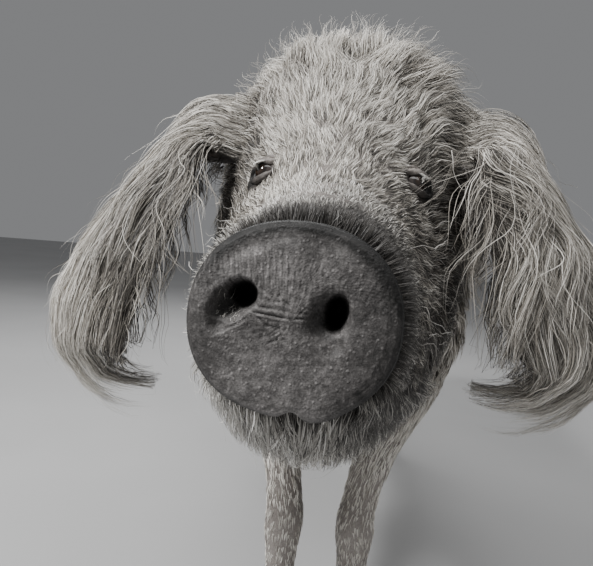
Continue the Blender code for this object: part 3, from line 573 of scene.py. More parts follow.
# %% Tail
TAIL_MIDDLE = ((0.0, 1.640, 0.752), (0.002, 1.660, 0.745), (0.012, 1.682, 0.724), (0.030, 1.694, 0.694),
               (0.036, 1.692, 0.658), (0.020, 1.680, 0.632), (-0.008, 1.680, 0.614), (-0.026, 1.692, 0.590),
               (-0.026, 1.704, 0.560), (-0.012, 1.706, 0.530))
tail_steps = np.linalg.norm(np.diff(TAIL_MIDDLE, axis=0), axis=1)
tail_marks = np.concatenate([[0], np.cumsum(tail_steps)])
TAIL_LENGTH = tail_marks[-1]
tail_line = [curve_through(np.column_stack([tail_marks, column])) for column in np.array(TAIL_MIDDLE).T]
tail_radius = curve_through(((0, 0.019), (0.10, 0.0145), (0.2, 0.010), (TAIL_LENGTH, 0.005)))


def tail_skin(distance, angle):
    """The tail's skin at a distance from its root and an angle round it."""
    distance, angle = paired(distance, angle)
    middle = np.stack([line(distance) for line in tail_line], -1)
    way = unit(np.stack([line(distance + 0.01) - line(distance - 0.01) for line in tail_line], -1))
    middle = middle + way * np.minimum(distance, 0)[..., None]
    first = unit(np.cross(way, (0.2, 0.3, 1.0)))
    second = np.cross(way, first)
    reach = tail_radius(distance)[..., None]
    return middle + (first * np.cos(angle)[..., None] + second * np.sin(angle)[..., None]) * reach


print("tail", round(float(TAIL_LENGTH), 2), "m long")

# %% [markdown]
# ## The eyelids
#
# A pig's eye is small and sits between thick lids. Each pair of lids is an almond-shaped ring: a short
# profile circle is spun round, which gives a ring, and the ring is then squeezed into an almond and bent
# round the eyeball. It is fused with the skin afterwards, so no seam shows.

# %% Model the lids
EYE_RADIUS = 0.0125
EYE_SLANT = math.radians(20)
LID_WIDE, LID_HIGH = 0.0185, 0.0080
FOLD_WIDE, FOLD_HIGH = 0.0235, 0.0150


def eye_axes(side):
    """Directions of one eye: to its side, upwards, and the way it looks."""
    looks = Vector(mirrored((0.64, -0.68, 0.33), side)).normalized()
    sideways = looks.cross(Vector((0, 0, 1))).normalized()
    upward = sideways.cross(looks)
    slant = math.sin(EYE_SLANT) * side
    level = math.cos(EYE_SLANT)
    return sideways * level + upward * slant, upward * level - sideways * slant, looks


def eye_ring(side, wide, high, proud, thick, name, collection):
    """An almond ring round one eye. thick is its (upper, lower) half thickness."""
    sideways, upward, looks = eye_axes(side)
    centre = Vector(mirrored(EYE_CENTRE, side)) + looks * proud
    work = bmesh.new()
    stand = Matrix.Translation((1, 0, 0)) @ Matrix.Rotation(math.pi / 2, 4, "X")
    bmesh.ops.create_circle(work, segments=12, radius=0.2, matrix=stand)
    bmesh.ops.spin(work, geom=work.verts[:] + work.edges[:], cent=(0, 0, 0), axis=(0, 0, 1), angle=math.tau,
                   steps=40, use_merge=True)
    for vert in work.verts:
        turn = math.atan2(vert.co.y, vert.co.x)
        corner = math.cos(turn) ** 2
        size = thick[0] if math.sin(turn) > 0 else thick[1]
        size *= 1 - 0.25 * corner
        out = (math.hypot(vert.co.x, vert.co.y) - 1) / 0.2 * size
        raise_by = vert.co.z / 0.2 * size
        radial = sideways * math.cos(turn) + upward * math.sin(turn)
        edge = sideways * math.cos(turn) * wide + upward * math.sin(turn) * high
        vert.co = centre + edge + radial * out + looks * (raise_by - 0.0050 * corner ** 2)
    bmesh.ops.recalc_face_normals(work, faces=work.faces)
    return draft(work, name, collection)


def eye_mound(side, collection):
    """The low cushion of skin that the lids lie on."""
    sideways, upward, looks = eye_axes(side)
    turn = Matrix((sideways, upward, looks)).transposed().to_4x4()
    place = Matrix.Translation(Vector(mirrored(EYE_CENTRE, side)) + looks * 0.001)
    work = bmesh.new()
    bmesh.ops.create_uvsphere(work, u_segments=48, v_segments=24, radius=1,
                              matrix=place @ turn @ Matrix.Diagonal((0.027, 0.019, 0.0068, 1)))
    return draft(work, "mound", collection)


# %% [markdown]
# ## One skin
#
# On the animal there is no seam between head, neck, trunk, ears and legs. So the bent tubes are fused by one
# Boolean union, the eye sockets are cut out, and the sharp line where two tubes meet is smoothed until it
# flows.

# %% Bend the tubes and fuse them
scraps = bpy.data.collections.new("scraps")
bpy.context.scene.collection.children.link(scraps)


def turned(columns):
    """The columns' places from 0 to 1, as angles."""
    return columns * math.tau


def fuse(target, pieces, operation):
    """One Boolean with a whole collection, whose objects are then removed."""
    step = target.modifiers.new("fuse", "BOOLEAN")
    step.operation = operation
    step.operand_type = "COLLECTION"
    step.collection = pieces
    step.solver = "MANIFOLD"
    bpy.context.view_layer.update()
    fused = bpy.data.meshes.new_from_object(target.evaluated_get(bpy.context.evaluated_depsgraph_get()))
    target.modifiers.clear()
    target.data = fused
    for piece in list(pieces.objects):
        bpy.data.objects.remove(piece)


head_rows = np.linspace(HEAD_FRONT + 0.002, 0.40, 150)
body_rows = np.linspace(0.408, RUMP_END - 0.001, 150)
skin = draft(bent_grid(np.concatenate([head_rows, body_rows]), 200,
                       lambda rows, columns: trunk_skin(rows, turned(columns), True)), "skin")
for side in (-1, 1):
    draft(bent_grid(np.linspace(-1, 5.0, 70), 44, lambda rows, columns: ear_tube(rows, columns, side)),
          "flap", scraps)
    eye_mound(side, scraps)
    eye_ring(side, LID_WIDE, LID_HIGH, 0.0090, (0.0046, 0.0032), "lids", scraps)
    eye_ring(side, FOLD_WIDE, FOLD_HIGH, 0.0040, (0.0046, 0.0024), "fold", scraps)
for leg, (rows, side, stance) in LEGS.items():
    draft(bent_grid(np.linspace(rows[0][0], HOOF_TOP, 90), 36,
                    lambda rows, columns: leg_skin(leg, rows, turned(columns))), "leg", scraps)
draft(bent_grid(np.linspace(-0.05, TAIL_LENGTH, 80), 20,
                lambda rows, columns: tail_skin(rows, turned(columns))), "tail", scraps)
fuse(skin, scraps, "UNION")
print("skin", len(skin.data.polygons), "faces")

# %% Cut the eye sockets and smooth the seams
SOCKET_GAP = 0.0003
# How near an eyeball the smoothing may start, and how near it may spread
START_GAP, SPREAD_GAP = 0.0035, 0.0015
for side in (-1, 1):
    ball = bmesh.new()
    bmesh.ops.create_uvsphere(ball, u_segments=48, v_segments=24, radius=EYE_RADIUS + SOCKET_GAP,
                              matrix=Matrix.Translation(mirrored(EYE_CENTRE, side)))
    draft(ball, "socket", scraps)
fuse(skin, scraps, "DIFFERENCE")
work = bmesh.new()
work.from_mesh(skin.data)
bmesh.ops.triangulate(work, faces=[f for f in work.faces if len(f.verts) > 4])
creased = [e for e in work.edges if e.is_manifold and e.calc_face_angle(0) > math.radians(32)]
flow = {v for e in creased for v in e.verts}
flow = {v for v in flow if v.co.y > 0.19 and v.co.z > HOOF_TOP + 0.004}
eyes = [Vector(mirrored(EYE_CENTRE, side)) for side in (-1, 1)]


def eye_gap(vert):
    """How far a vertex is from the nearer eyeball."""
    return min((vert.co - eye).length for eye in eyes) - EYE_RADIUS


flow = {v for v in flow if eye_gap(v) > START_GAP}
for spread in range(3):
    flow |= {e.other_vert(v) for v in flow for e in v.link_edges}
flow = [v for v in flow if eye_gap(v) > SPREAD_GAP and v.co.z > HOOF_TOP + 0.002]
for turn in range(12):
    bmesh.ops.smooth_vert(work, verts=flow, factor=0.5, use_axis_x=True, use_axis_y=True, use_axis_z=True)
work.to_mesh(skin.data)
work.free()
add_tone(skin.data, marking_and_shade(np.array([v.co for v in skin.data.vertices])))

# %% [markdown]
# The bare skin is a dark, warm grey, paler or darker where the marks above say so; their dark marks round the
# eyes, on the temples and on the cheeks are painted shade. Fine creases run all over it, which a bump from
# two
# noises gives: one for the folds and one for the grain.

# %% Skin material
skin_finish = Finish("skin", Roughness=0.62)
skin_patches = skin_finish.noise(9)
skin_grain = skin_finish.noise(420, 4)
skin_creases = skin_finish.noise(90, 5, (1, 0.35, 1))
# The stored tone: the marks, with their painted shade.
skin_marks_and_shade = skin_finish.stored()
skin_finish.use(Base_Color=skin_finish.colours(skin_patches * 0.6 + skin_grain * 0.4 + skin_marks_and_shade * 0.8, (
    (0.10, (0.012, 0.011, 0.010)), (0.38, (0.085, 0.074, 0.067)), (0.55, (0.17, 0.15, 0.135)),
    (0.85, (0.42, 0.38, 0.35)))))
skin_finish.use(Normal=skin_finish.bump(skin_creases + skin_grain * 0.5, 0.6, 0.002))
FLESH = ["head", "neck", "shoulders", "barrel", "hindquarters", "tail", "ear_left", "ear_right"]
FLESH += [f"leg_{leg}" for leg in LEGS]
dress(skin, skin_finish, FLESH)

# %% [markdown]
# ## The snout's disc
#
# The disc is a pad of gristle under tight dark skin, wide and low, with two nostrils and a notch at its foot.
# It starts as one profile line, from behind the rim to the middle, which is spun round into a turned shape.
# Every point is then pushed: out to the real outline, in at the nostrils, and up and down along ridges and
# creases. A turned shape gives rows that follow the rim, and they are close enough for the nostrils to have
# soft, rounded edges.

# %% Outline of the disc
DISC_HALF_WIDTH = 0.0505
DISC_HALF_HEIGHT = 0.0455
DISC_PROFILE = ((-0.0157, 0.88), (-0.008, 0.925), (-0.002, 0.985), (0.003, 1.0), (0.0075, 0.978),
                (0.0100, 0.93), (0.0112, 0.84), (0.0112, 0.66), (0.0108, 0.40), (0.0116, 0.0))
NOTCH_AT = 0.0045


def disc_edge(angle, share):
    """The disc's outline at an angle from the top, with the notch and its two unequal lobes."""
    side, up = np.sin(angle), np.cos(angle)
    x = DISC_HALF_WIDTH * share * signed_power(side, 0.93)
    z = DISC_HALF_HEIGHT * share * signed_power(up, 0.93)
    lower = np.clip(-up, 0, 1) * share ** 2
    z = z + 0.0052 * lower * bump(x - NOTCH_AT, 0.0050) * share ** 6
    z = z - 0.0020 * lower * bump(x - 0.018, 0.014) * share ** 4
    z = z + 0.0006 * lower * bump(x + 0.014, 0.014) * share ** 4
    return x, z


# %% Nostrils, ridges and creases of the disc
# Each hollow: place, half sizes, turn, depth, how soft its edge is
HOLLOWS = (((-0.0246, 0.0090), (0.0080, 0.0074), 0.3, 0.022, 0.54),
           ((-0.0290, 0.0048), (0.0125, 0.0086), 0.75, 0.0100, 0.62),
           ((-0.0335, -0.0050), (0.0060, 0.0075), 1.2, 0.0036, 0.6),
           ((0.0196, 0.0045), (0.0060, 0.0096), -0.12, 0.024, 0.46),
           ((0.0165, 0.0020), (0.0115, 0.0135), -0.2, 0.0075, 0.62),
           ((0.0200, -0.0080), (0.0070, 0.0085), 0.0, 0.0035, 0.6))
FAINT_CREASES = (((0.0175, -0.017), (0.013, -0.023), (0.006, -0.028)),
                 ((0.022, -0.016), (0.019, -0.023), (0.013, -0.029)),
                 ((-0.026, -0.029), (-0.0262, -0.034), (-0.0265, -0.040)),
                 ((-0.020, -0.020), (-0.023, -0.025), (-0.030, -0.028)))
CREASES = (((-0.016, 0.0022), (-0.004, 0.0012), (0.006, 0.0018)),
           ((-0.015, 0.0085), (-0.004, 0.0082), (0.007, 0.0065)),
           ((-0.0155, 0.0050), (-0.006, 0.0048), (0.007, 0.0042)),
           ((-0.0165, -0.0065), (-0.009, -0.0105), (-0.005, -0.0085), (0.006, -0.0072)),
           ((-0.015, 0.0005), (-0.010, -0.0030), (-0.002, -0.0040)),
           ((-0.0168, 0.0022), (-0.024, -0.0035), (-0.0350, -0.0095)),
           ((-0.012, 0.0110), (0.0, 0.0118), (0.009, 0.0100)),
           ((0.0258, 0.0070), (0.0262, 0.0020), (0.0215, -0.0035)))


def crease_distance(x, z, line):
    """How far each point is from a crease drawn as a few straight steps."""
    best = np.full(np.shape(x), 1.0)
    for (ax, az), (bx, bz) in zip(line, line[1:]):
        dx, dz = bx - ax, bz - az
        t = np.clip(((x - ax) * dx + (z - az) * dz) / (dx * dx + dz * dz), 0, 1)
        best = np.minimum(best, np.hypot(x - ax - t * dx, z - az - t * dz))
    return best


def hollows(x, z):
    """How deep the nostrils are at each point of the disc's face."""
    deepest = 0 * x
    for (at_x, at_z), (wide, high), turn, depth, soft in HOLLOWS:
        across = (x - at_x) * math.cos(turn) + (z - at_z) * math.sin(turn)
        up = (z - at_z) * math.cos(turn) - (x - at_x) * math.sin(turn)
        outside = ramp(np.hypot(across / wide, up / high), 1 - soft * 1.6, 1 + soft * 0.5)
        deepest = np.maximum(deepest, depth * (1 - outside))
    return deepest


def ridges(x, z):
    """Upright ribs below the top rim, that spread a little to the sides; from -1 to 1."""
    fan = x / (1 + (z - 0.02) * 6) + 0.0006 * np.sin(z * 330 + x * 120)
    rib = np.sin(fan * 2300 + 1.8 * np.sin(z * 240 + x * 160)) * (0.6 + 0.4 * np.sin(z * 700 + fan * 900))
    rib = 0.6 * rib + 0.4 * np.sin(fan * 4300 + 2 * np.sin(z * 520 + x * 200))
    lower = 0.22 * np.abs(x + 0.012)
    return rib * ramp(z, 0.004, 0.016) * (1 - ramp(z, 0.030 - lower, 0.037 - lower))


def disc_relief(x, z):
    """How far each point of the face stands forward."""
    deep = hollows(x, z)
    out = -deep + 0.0012 * bump(deep - 0.0016, 0.0012) * (deep > 1e-5)
    out = out + 0.0012 * bump(x - NOTCH_AT * ramp(-z, 0, 0.04), 0.007) * ramp(np.abs(z), 0.004, 0.02)
    out = out + 0.00028 * ridges(x, z)
    out = out + 0.00012 * np.sin(x * 1400 + 3 * np.sin(z * 610)) * np.sin(z * 1330 + 3 * np.sin(x * 580 + 1))
    out = out - 0.0010 * bump(np.hypot(x, z * 1.1) - 0.0415, 0.0035) * ramp(z, 0.0, 0.03)
    for line in CREASES + FAINT_CREASES:
        gap = crease_distance(x, z, line)
        depth = 1.0 if line in CREASES else 0.35
        out = out - depth * (0.00055 * bump(gap, 0.00045) - 0.00028 * bump(gap - 0.0013, 0.0008))
    return out


def disc_tint_and_shading(x, z):
    """Paler on the ribs and the lobes, and darker along the top rim. Painted light: paler patches on the
    disc's left and on the lips of its creases. Painted shade: darker on its right side, in its creases, and
    in the nostrils, the more so the deeper they go.
    """
    rim = np.hypot(x / DISC_HALF_WIDTH, z / DISC_HALF_HEIGHT)
    # The ribs are paler; the broad paler patch on the upper left is a painted highlight, where the lamp
    # falls.
    tint = 0.28 * ridges(x, z) + 0.34 * bump(z - 0.022, 0.013) * bump(x + 0.010, 0.030)
    # Painted shade on the disc's right side; the top rim is darker.
    tint = tint - 0.20 * ramp(x, 0.018, 0.042) - 0.46 * ramp(rim, 0.84, 0.93) * ramp(z, 0.004, 0.028)
    tint = tint + 0.24 * ramp(-z, 0.030, 0.042) * bump(x - 0.006, 0.022)
    # Painted light: a paler patch on the lower left.
    tint = tint + 0.14 * bump(np.hypot(x + 0.014, z + 0.024), 0.020)
    # Painted shade in each crease, and a painted highlight on its lips.
    for line in CREASES + FAINT_CREASES:
        gap = crease_distance(x, z, line)
        depth = 1.0 if line in CREASES else 0.6
        tint = tint + depth * (0.16 * bump(gap - 0.0010, 0.0005) - 0.10 * bump(gap, 0.0004))
    # Painted shade: the nostrils darker the deeper they are.
    return tint - 1.0 * ramp(hollows(x, z), 0.0006, 0.020)


# %% Spin the disc and press the relief into it
work = bmesh.new()
marks = np.linspace(0, len(DISC_PROFILE) - 1, 118)
profile_x = np.interp(marks, range(len(DISC_PROFILE)), [p[1] for p in DISC_PROFILE])
profile_y = np.interp(marks, range(len(DISC_PROFILE)), [p[0] for p in DISC_PROFILE])
first = [work.verts.new((share, 0, -forward)) for share, forward in zip(profile_x, profile_y)]
line = [work.edges.new(pair) for pair in zip(first, first[1:])]
bmesh.ops.spin(work, geom=first + line, cent=(0, 0, 0), axis=(0, 0, 1), angle=math.tau,
               steps=250, use_merge=True)
bmesh.ops.remove_doubles(work, verts=work.verts, dist=1e-5)
back_edges = [e for e in work.edges if e.is_boundary]
bmesh.ops.holes_fill(work, edges=back_edges, sides=0)
turned_disc = np.array([v.co for v in work.verts])
share = np.hypot(turned_disc[:, 0], turned_disc[:, 1])
angle = np.arctan2(turned_disc[:, 0], turned_disc[:, 1])
disc_x, disc_z = disc_edge(angle, share)
on_face = ramp(-turned_disc[:, 2], 0.0, 0.010)
forward = -turned_disc[:, 2] + disc_relief(disc_x, disc_z) * on_face
for vert, x, z, out in zip(work.verts, disc_x, disc_z, forward):
    vert.co = (x, SNOUT_TILT * z - out, SNOUT_HEIGHT + z)
bmesh.ops.recalc_face_normals(work, faces=work.faces)
disc = draft(work, "snout_disc")
add_tone(disc.data, disc_tint_and_shading(disc_x, disc_z) * on_face - 1.3 * (1 - on_face))

# %% [markdown]
# The disc is dark grey on its face, with faint paler dots where the skin stands up between its pores, and
# black deep in its hollows, which is painted shade. The broad tints come from `disc_tint_and_shading`, stored
# with
# each point: its own colour, with painted light on its left and painted shade on its right and in its
# creases.
# It's moist, but not wet.

# %% Disc material
disc_finish = Finish("snout_skin", Specular_IOR_Level=0.25)
disc_place = disc_finish.node("ShaderNodeTexCoord", output="Object")
wobble = disc_finish.noise(500, 2)
dots = disc_finish.node("ShaderNodeTexVoronoi", {"feature": "F1"}, {"Vector": disc_place, "Scale": 330.0})
dot_mask = disc_finish.node("ShaderNodeMapRange", {"interpolation_type": "SMOOTHSTEP"},
                            {"Value": dots + wobble * 0.25, "From Min": 0.46, "From Max": 0.16})
blotches = disc_finish.noise(75, 4)
fine_grain = disc_finish.noise(1100, 3)
mottle = disc_finish.noise(330, 3)
# The stored tint holds the disc's own colour, and its painted light and shade.
stored_tint_and_shading = disc_finish.stored()
tone = blotches * 0.40 + mottle * 0.42 + fine_grain * 0.36 + stored_tint_and_shading * 0.55
tone = tone + dot_mask * blotches * 0.24 - 0.10
disc_finish.use(Base_Color=disc_finish.colours(tone, (
    (0.0, (0.002, 0.002, 0.002)), (0.30, (0.020, 0.019, 0.018)), (0.50, (0.062, 0.058, 0.056)),
    (0.64, (0.125, 0.118, 0.114)), (0.82, (0.24, 0.225, 0.22)))))
disc_finish.use(Roughness=0.46 + fine_grain * 0.30)
disc_finish.use(Normal=disc_finish.bump(dot_mask * 0.35 + fine_grain * 0.45 + mottle * 0.6, 0.9, 0.0008))
dress(disc, disc_finish, ["snout"])

# %% [markdown]
# ## The eyes
#
# A small, very dark ball with a slightly raised, clear front. The front is raised by pushing out the points
# that face the way the eye looks. The brown iris and the pupil are rings of colour round that direction.

# %% Model the eyeballs
for side, hand in HANDS:
    sideways, upward, looks = eye_axes(side)
    work = bmesh.new()
    bmesh.ops.create_uvsphere(work, u_segments=64, v_segments=40, radius=EYE_RADIUS - 0.0002)
    for vert in work.verts:
        facing = vert.co.normalized().dot(looks)
        vert.co *= 1 + 0.055 * float(ramp(facing, 0.80, 0.97))
    bmesh.ops.translate(work, verts=work.verts, vec=mirrored(EYE_CENTRE, side))
    eye = draft(work, f"eyeball_{hand}")
    eye_finish = Finish(f"eye_{hand}", Roughness=0.06, Coat_Weight=1.0, Coat_Roughness=0.03)
    spot = eye_finish.node("ShaderNodeTexCoord", output="Object")
    spot = eye_finish.node("ShaderNodeVectorMath", {"operation": "SUBTRACT"},
                           {0: spot, 1: Vector(mirrored(EYE_CENTRE, side) + SHIFT) + looks * EYE_RADIUS})
    away = eye_finish.node("ShaderNodeVectorMath", {"operation": "LENGTH"}, {0: spot}, output="Value")
    streaky = eye_finish.noise(900, 2)
    iris = eye_finish.colours(away * 100 + streaky * 0.10, (
        (0.28, (0.003, 0.003, 0.003)), (0.36, (0.028, 0.017, 0.011)), (0.62, (0.020, 0.012, 0.008)),
        (0.74, (0.010, 0.008, 0.007)), (0.95, (0.045, 0.036, 0.032))))
    eye_finish.use(Base_Color=iris)
    dress(eye, eye_finish, [f"eye_{hand}"])

# %% [markdown]
# ## Hooves
#
# Pigs walk on two claws a foot, with two dew claws behind. The imported solids already have their shape, so
# they stay and get dark, finely streaked horn.

# %% Horn for the claws
horn = Finish("horn")
horn_streaks = horn.noise(160, 5, (1, 1, 0.12))
horn_rings = horn.noise(35, 2, (0.15, 0.15, 3.0))
horn.use(Base_Color=horn.colours(horn_streaks * 0.7 + horn_rings * 0.3, (
    (0.32, (0.045, 0.038, 0.034)), (0.55, (0.105, 0.090, 0.078)), (0.75, (0.20, 0.17, 0.145)))))
horn.use(Roughness=0.35 + horn_streaks * 0.35, Normal=horn.bump(horn_streaks + horn_rings * 2, 0.5, 0.0012))
for name, node in frame["nodes"].items():
    if "claw" in name:
        node.data.materials.clear()
        node.data.materials.append(horn.material)

# %% [markdown]
# ## How a coat is made
#
# Real hair stands in small tufts, whose hairs start apart and lean together towards their tips. So each tuft
# is walked over the skin first: a few steps in the direction in which the coat lies there. The hairs of the
# tuft then follow that walk side by side and close in on it. Each hair becomes a strip of mesh that narrows
# to a point. They are worked out together as arrays, because there are about a hundred thousand of them. Two
# things are stored with every point: its tone, and its place on an unwrap of the skin, on which a hair takes
# up a tiny patch at its root.

# %% Directions on any skin
def on_skin(skin_at, a, b, step_a, step_b, outward):
    """Place, outward direction, and metres for each unit of a and of b."""
    along = (skin_at(a + step_a, b) - skin_at(a - step_a, b)) / (2 * step_a)
    around = (skin_at(a, b + step_b) - skin_at(a, b - step_b)) / (2 * step_b)
    pace_a = np.maximum(np.linalg.norm(along, axis=-1), 0.01)
    pace_b = np.maximum(np.linalg.norm(around, axis=-1), 0.004)
    return unit(np.cross(around, along)) * outward, pace_a, pace_b


class Hide:
    """A stretch of skin that hair grows on: its shape, finite steps, and the range for its unwrap."""

    def __init__(self, skin_at, range_a, range_b, steps, outward):
        self.at, self.range_a, self.range_b = skin_at, range_a, range_b
        self.steps, self.outward = steps, outward

    def directions(self, a, b):
        return on_skin(self.at, a, b, *self.steps, self.outward)

    def unwrap(self, a, b):
        u = (b - self.range_b[0]) / (self.range_b[1] - self.range_b[0])
        v = (a - self.range_a[0]) / (self.range_a[1] - self.range_a[0])
        return np.stack([0.01 + 0.98 * np.clip(u % 1.0001, 0, 1), 0.01 + 0.98 * np.clip(v, 0, 1)], -1)

    def sow(self, rng, spacing, from_a, to_a, from_b, to_b):
        """Roots in staggered rows, about as far apart as the spacing, with some disorder."""
        fine_a = np.linspace(from_a, to_a, 200)
        fine_b = np.linspace(from_b, to_b, 160)
        grid_a, grid_b = np.meshgrid(fine_a, fine_b, indexing="ij")
        _, pace_a, pace_b = self.directions(grid_a, grid_b)
        along = np.concatenate([[0], np.cumsum(pace_a.mean(1)[:-1] * np.diff(fine_a))])
        rows = max(2, round(along[-1] / spacing))
        roots = []
        for row, at in enumerate(np.interp((np.arange(rows) + 0.5) / rows * along[-1], along, fine_a)):
            pace = pace_b[np.abs(fine_a - at).argmin()]
            arc = np.concatenate([[0], np.cumsum(pace[:-1] * np.diff(fine_b))])
            count = max(1, round(arc[-1] / spacing))
            places = (np.arange(count) + 0.25 + 0.5 * (row % 2)) / count * arc[-1]
            places = places + rng.uniform(-0.4, 0.4, count) * spacing
            onward = max(1e-6, pace_a.mean(1)[np.abs(fine_a - at).argmin()])
            step = rng.uniform(-0.45, 0.45, count) * spacing / onward
            roots.append(np.column_stack([at + step, np.interp(places, arc, fine_b)]))
        return np.concatenate(roots).T


# %% Walk over the skin, and gather tufts into locks
def amble(hide, a, b, length, heading, swing, steps):
    """A walk from each root, as an array of roots, steps and the two coordinates."""
    walk = [np.stack([a, b], -1)]
    for k in range(steps - 1):
        _, pace_a, pace_b = hide.directions(*walk[-1].T)
        way = heading + swing * (k / (steps - 1) - 0.3)
        stride = np.stack([np.cos(way) / pace_a, np.sin(way) / pace_b], -1)
        walk.append(walk[-1] + stride * (length / (steps - 1))[:, None])
    return np.stack(walk, 1)


def gather(hide, rng, walk, spacing, pull, bow, waves=1.2, uneven=0.4, ease=1.0):
    """Draws the tufts' walks into broad locks that bend as one. Gives walks, lifts and tones by tuft."""
    a, b = walk[:, 0].T
    heads = hide.sow(rng, spacing, a.min(), a.max(), b.min(), b.max())
    _, pace_a, pace_b = hide.directions(*heads)
    gap = np.hypot((a[:, None] - heads[0]) * pace_a, (b[:, None] - heads[1]) * pace_b)
    lock = gap.argmin(1)
    share = np.linspace(0, 1, walk.shape[1])
    phase = rng.uniform(0, math.tau, len(pace_a))[:, None]
    bend = bow * (np.sin(phase + share * waves * math.tau) - np.sin(phase)) / pace_b[:, None]
    drawn = (heads.T[lock] - walk[:, 0])[:, None] * (pull * ramp(share, 0, 0.8))[:, None]
    drawn[..., 1] += bend[lock]
    drawn = drawn * np.reshape(ease, (-1, 1, 1))
    edge = np.clip(gap.min(1) / spacing / 0.6, 0, 1) ** 2
    # Tufts far from a lock's head lie lower and are darker: painted shade in the partings between locks.
    tone = rng.normal(0.04, 0.06, len(pace_a))[lock] - 0.16 * edge
    return walk + drawn, rng.uniform(1 - uneven, 1 + uneven, len(pace_a))[lock] * (1 - 0.45 * edge), tone


# %% Let the hairs of each tuft follow its walk
def comb(hide, rng, a, b, length, heading, lift, hairs, radius, tight=0.7, curl=0.0, waves=1.5, steps=6,
         sway=0.3, ragged=0.3, locks=None, stir=0.12):
    """Hairs as arrays: paths, outward directions, share along, tuft numbers, roots and the tufts' tones."""
    length, heading, lift = (np.broadcast_to(np.asarray(v, float), a.shape) for v in (length, heading, lift))
    walk = amble(hide, a, b, length, heading + rng.normal(0, stir, a.shape),
                 rng.normal(0, sway, a.shape), steps)
    tone = 0 * a
    if locks:
        walk, height, tone = gather(hide, rng, walk, *locks)
        lift = lift * height
    outward, pace_a, pace_b = hide.directions(walk[..., 0], walk[..., 1])
    walk = np.concatenate([walk, outward], -1)
    owner = np.repeat(np.arange(len(a)), hairs)
    share = np.linspace(0, 1, steps)
    reach = share * rng.uniform(1 - ragged, 1, owner.shape)[:, None] * (steps - 1)
    lower = np.minimum(reach.astype(int), steps - 2)
    part = (reach - lower)[..., None]
    own = walk[owner[:, None], lower] * (1 - part) + walk[owner[:, None], lower + 1] * part
    away = np.sqrt(rng.uniform(0, 1, owner.shape)) * radius
    round_by = rng.uniform(0, math.tau, owner.shape)
    closing = 1 - tight * ramp(share, 0, 1)
    hair_a = own[..., 0] + (away * np.cos(round_by) / pace_a[owner, 0])[:, None] * closing
    hair_b = own[..., 1] + (away * np.sin(round_by) / pace_b[owner, 0])[:, None] * closing
    outward = unit(own[..., 2:])
    rise = lift[owner] * rng.uniform(0.55, 1.1, owner.shape)
    raised = -0.0012 + rise[:, None] * np.sin(share * math.pi * 0.5) ** 0.8
    path = hide.at(hair_a, hair_b) + outward * raised[..., None]
    beside = unit(np.cross(unit(np.gradient(path, axis=1)), outward))
    phase = rng.uniform(0, math.tau, a.shape)[owner] + rng.normal(0, 0.35, owner.shape)
    wave = phase[:, None] + share * waves * math.tau
    swell = curl * ramp(share, 0, 0.5)
    path = path + beside * (np.sin(wave) * swell)[..., None]
    path = path + outward * (np.cos(wave) * swell * 0.4)[..., None]
    return path, outward, share, owner, (hair_a[:, 0], hair_b[:, 0]), tone


# %% Turn the hairs into strips of mesh
def strips(name, hide, hair, rng, width, finish, tone, root_shade=0.25, keep=None):
    """One mesh of all the hairs. tone is (middle, spread by tuft, spread by hair)."""
    path, outward, share, owner, roots, own_tone = hair
    if keep is not None:
        path, outward, owner = path[keep], outward[keep], owner[keep]
        roots = (roots[0][keep], roots[1][keep])
    count, steps = path.shape[:2]
    forward = unit(np.gradient(path, axis=1))
    beside = unit(np.cross(forward, outward))
    above = np.cross(beside, forward)
    roll = rng.normal(0, 0.45, (count, 1, 1))
    across = beside * np.cos(roll) + above * np.sin(roll)
    half = (width / 2 * rng.uniform(0.7, 1.25, (count, 1)) * (1 - share ** 2.2) ** 0.8)[..., None]
    sides = [path - across * half, path + across * half]
    lanes = len(sides)
    rings = np.stack(sides, 2)[:, :-1]
    points = np.concatenate([rings.reshape(count, -1, 3), path[:, -1:]], 1)
    each = points.shape[1]
    corner = np.arange(lanes * (steps - 1)).reshape(steps - 1, lanes)
    quads = np.stack([corner[:-1, :-1], corner[:-1, 1:], corner[1:, 1:], corner[1:, :-1]], -1).reshape(-1, 4)
    last = corner[-1]
    tips = np.stack([last[:-1], last[1:], np.full(lanes - 1, each - 1)], -1)
    first = np.arange(count)[:, None] * each
    loops = np.concatenate([first + quads.reshape(1, -1), first + tips.reshape(1, -1)], 1)
    sizes = np.tile(np.concatenate([np.full(len(quads), 4), np.full(len(tips), 3)]), count)
    by_tuft = own_tone + rng.normal(0, tone[1], len(own_tone))
    shade = tone[0] + by_tuft[owner] + rng.normal(0, tone[2], count)
    # Painted shade: the marks' painted shade, and each hair darker towards its root, where less light gets
    # in.
    shade = (shade + marking_and_shade(path[:, 0]))[:, None] - root_shade * (1 - ramp(share, 0, 0.55)) + 0.06 * share
    shade = np.concatenate([np.repeat(shade[:, :-1], lanes, 1), shade[:, -1:]], 1)
    patch = np.concatenate([np.repeat(share[:-1], lanes), [1.0]]) * 0.003
    beam = np.concatenate([np.tile(np.linspace(-0.0015, 0.0015, lanes), steps - 1), [0.0]])
    unwrap = hide.unwrap(*roots)[:, None] + np.stack([beam, patch], -1)
    return strip_mesh(name, points.reshape(-1, 3), loops.ravel(), sizes, shade.ravel(),
                      unwrap.reshape(-1, 2), finish)


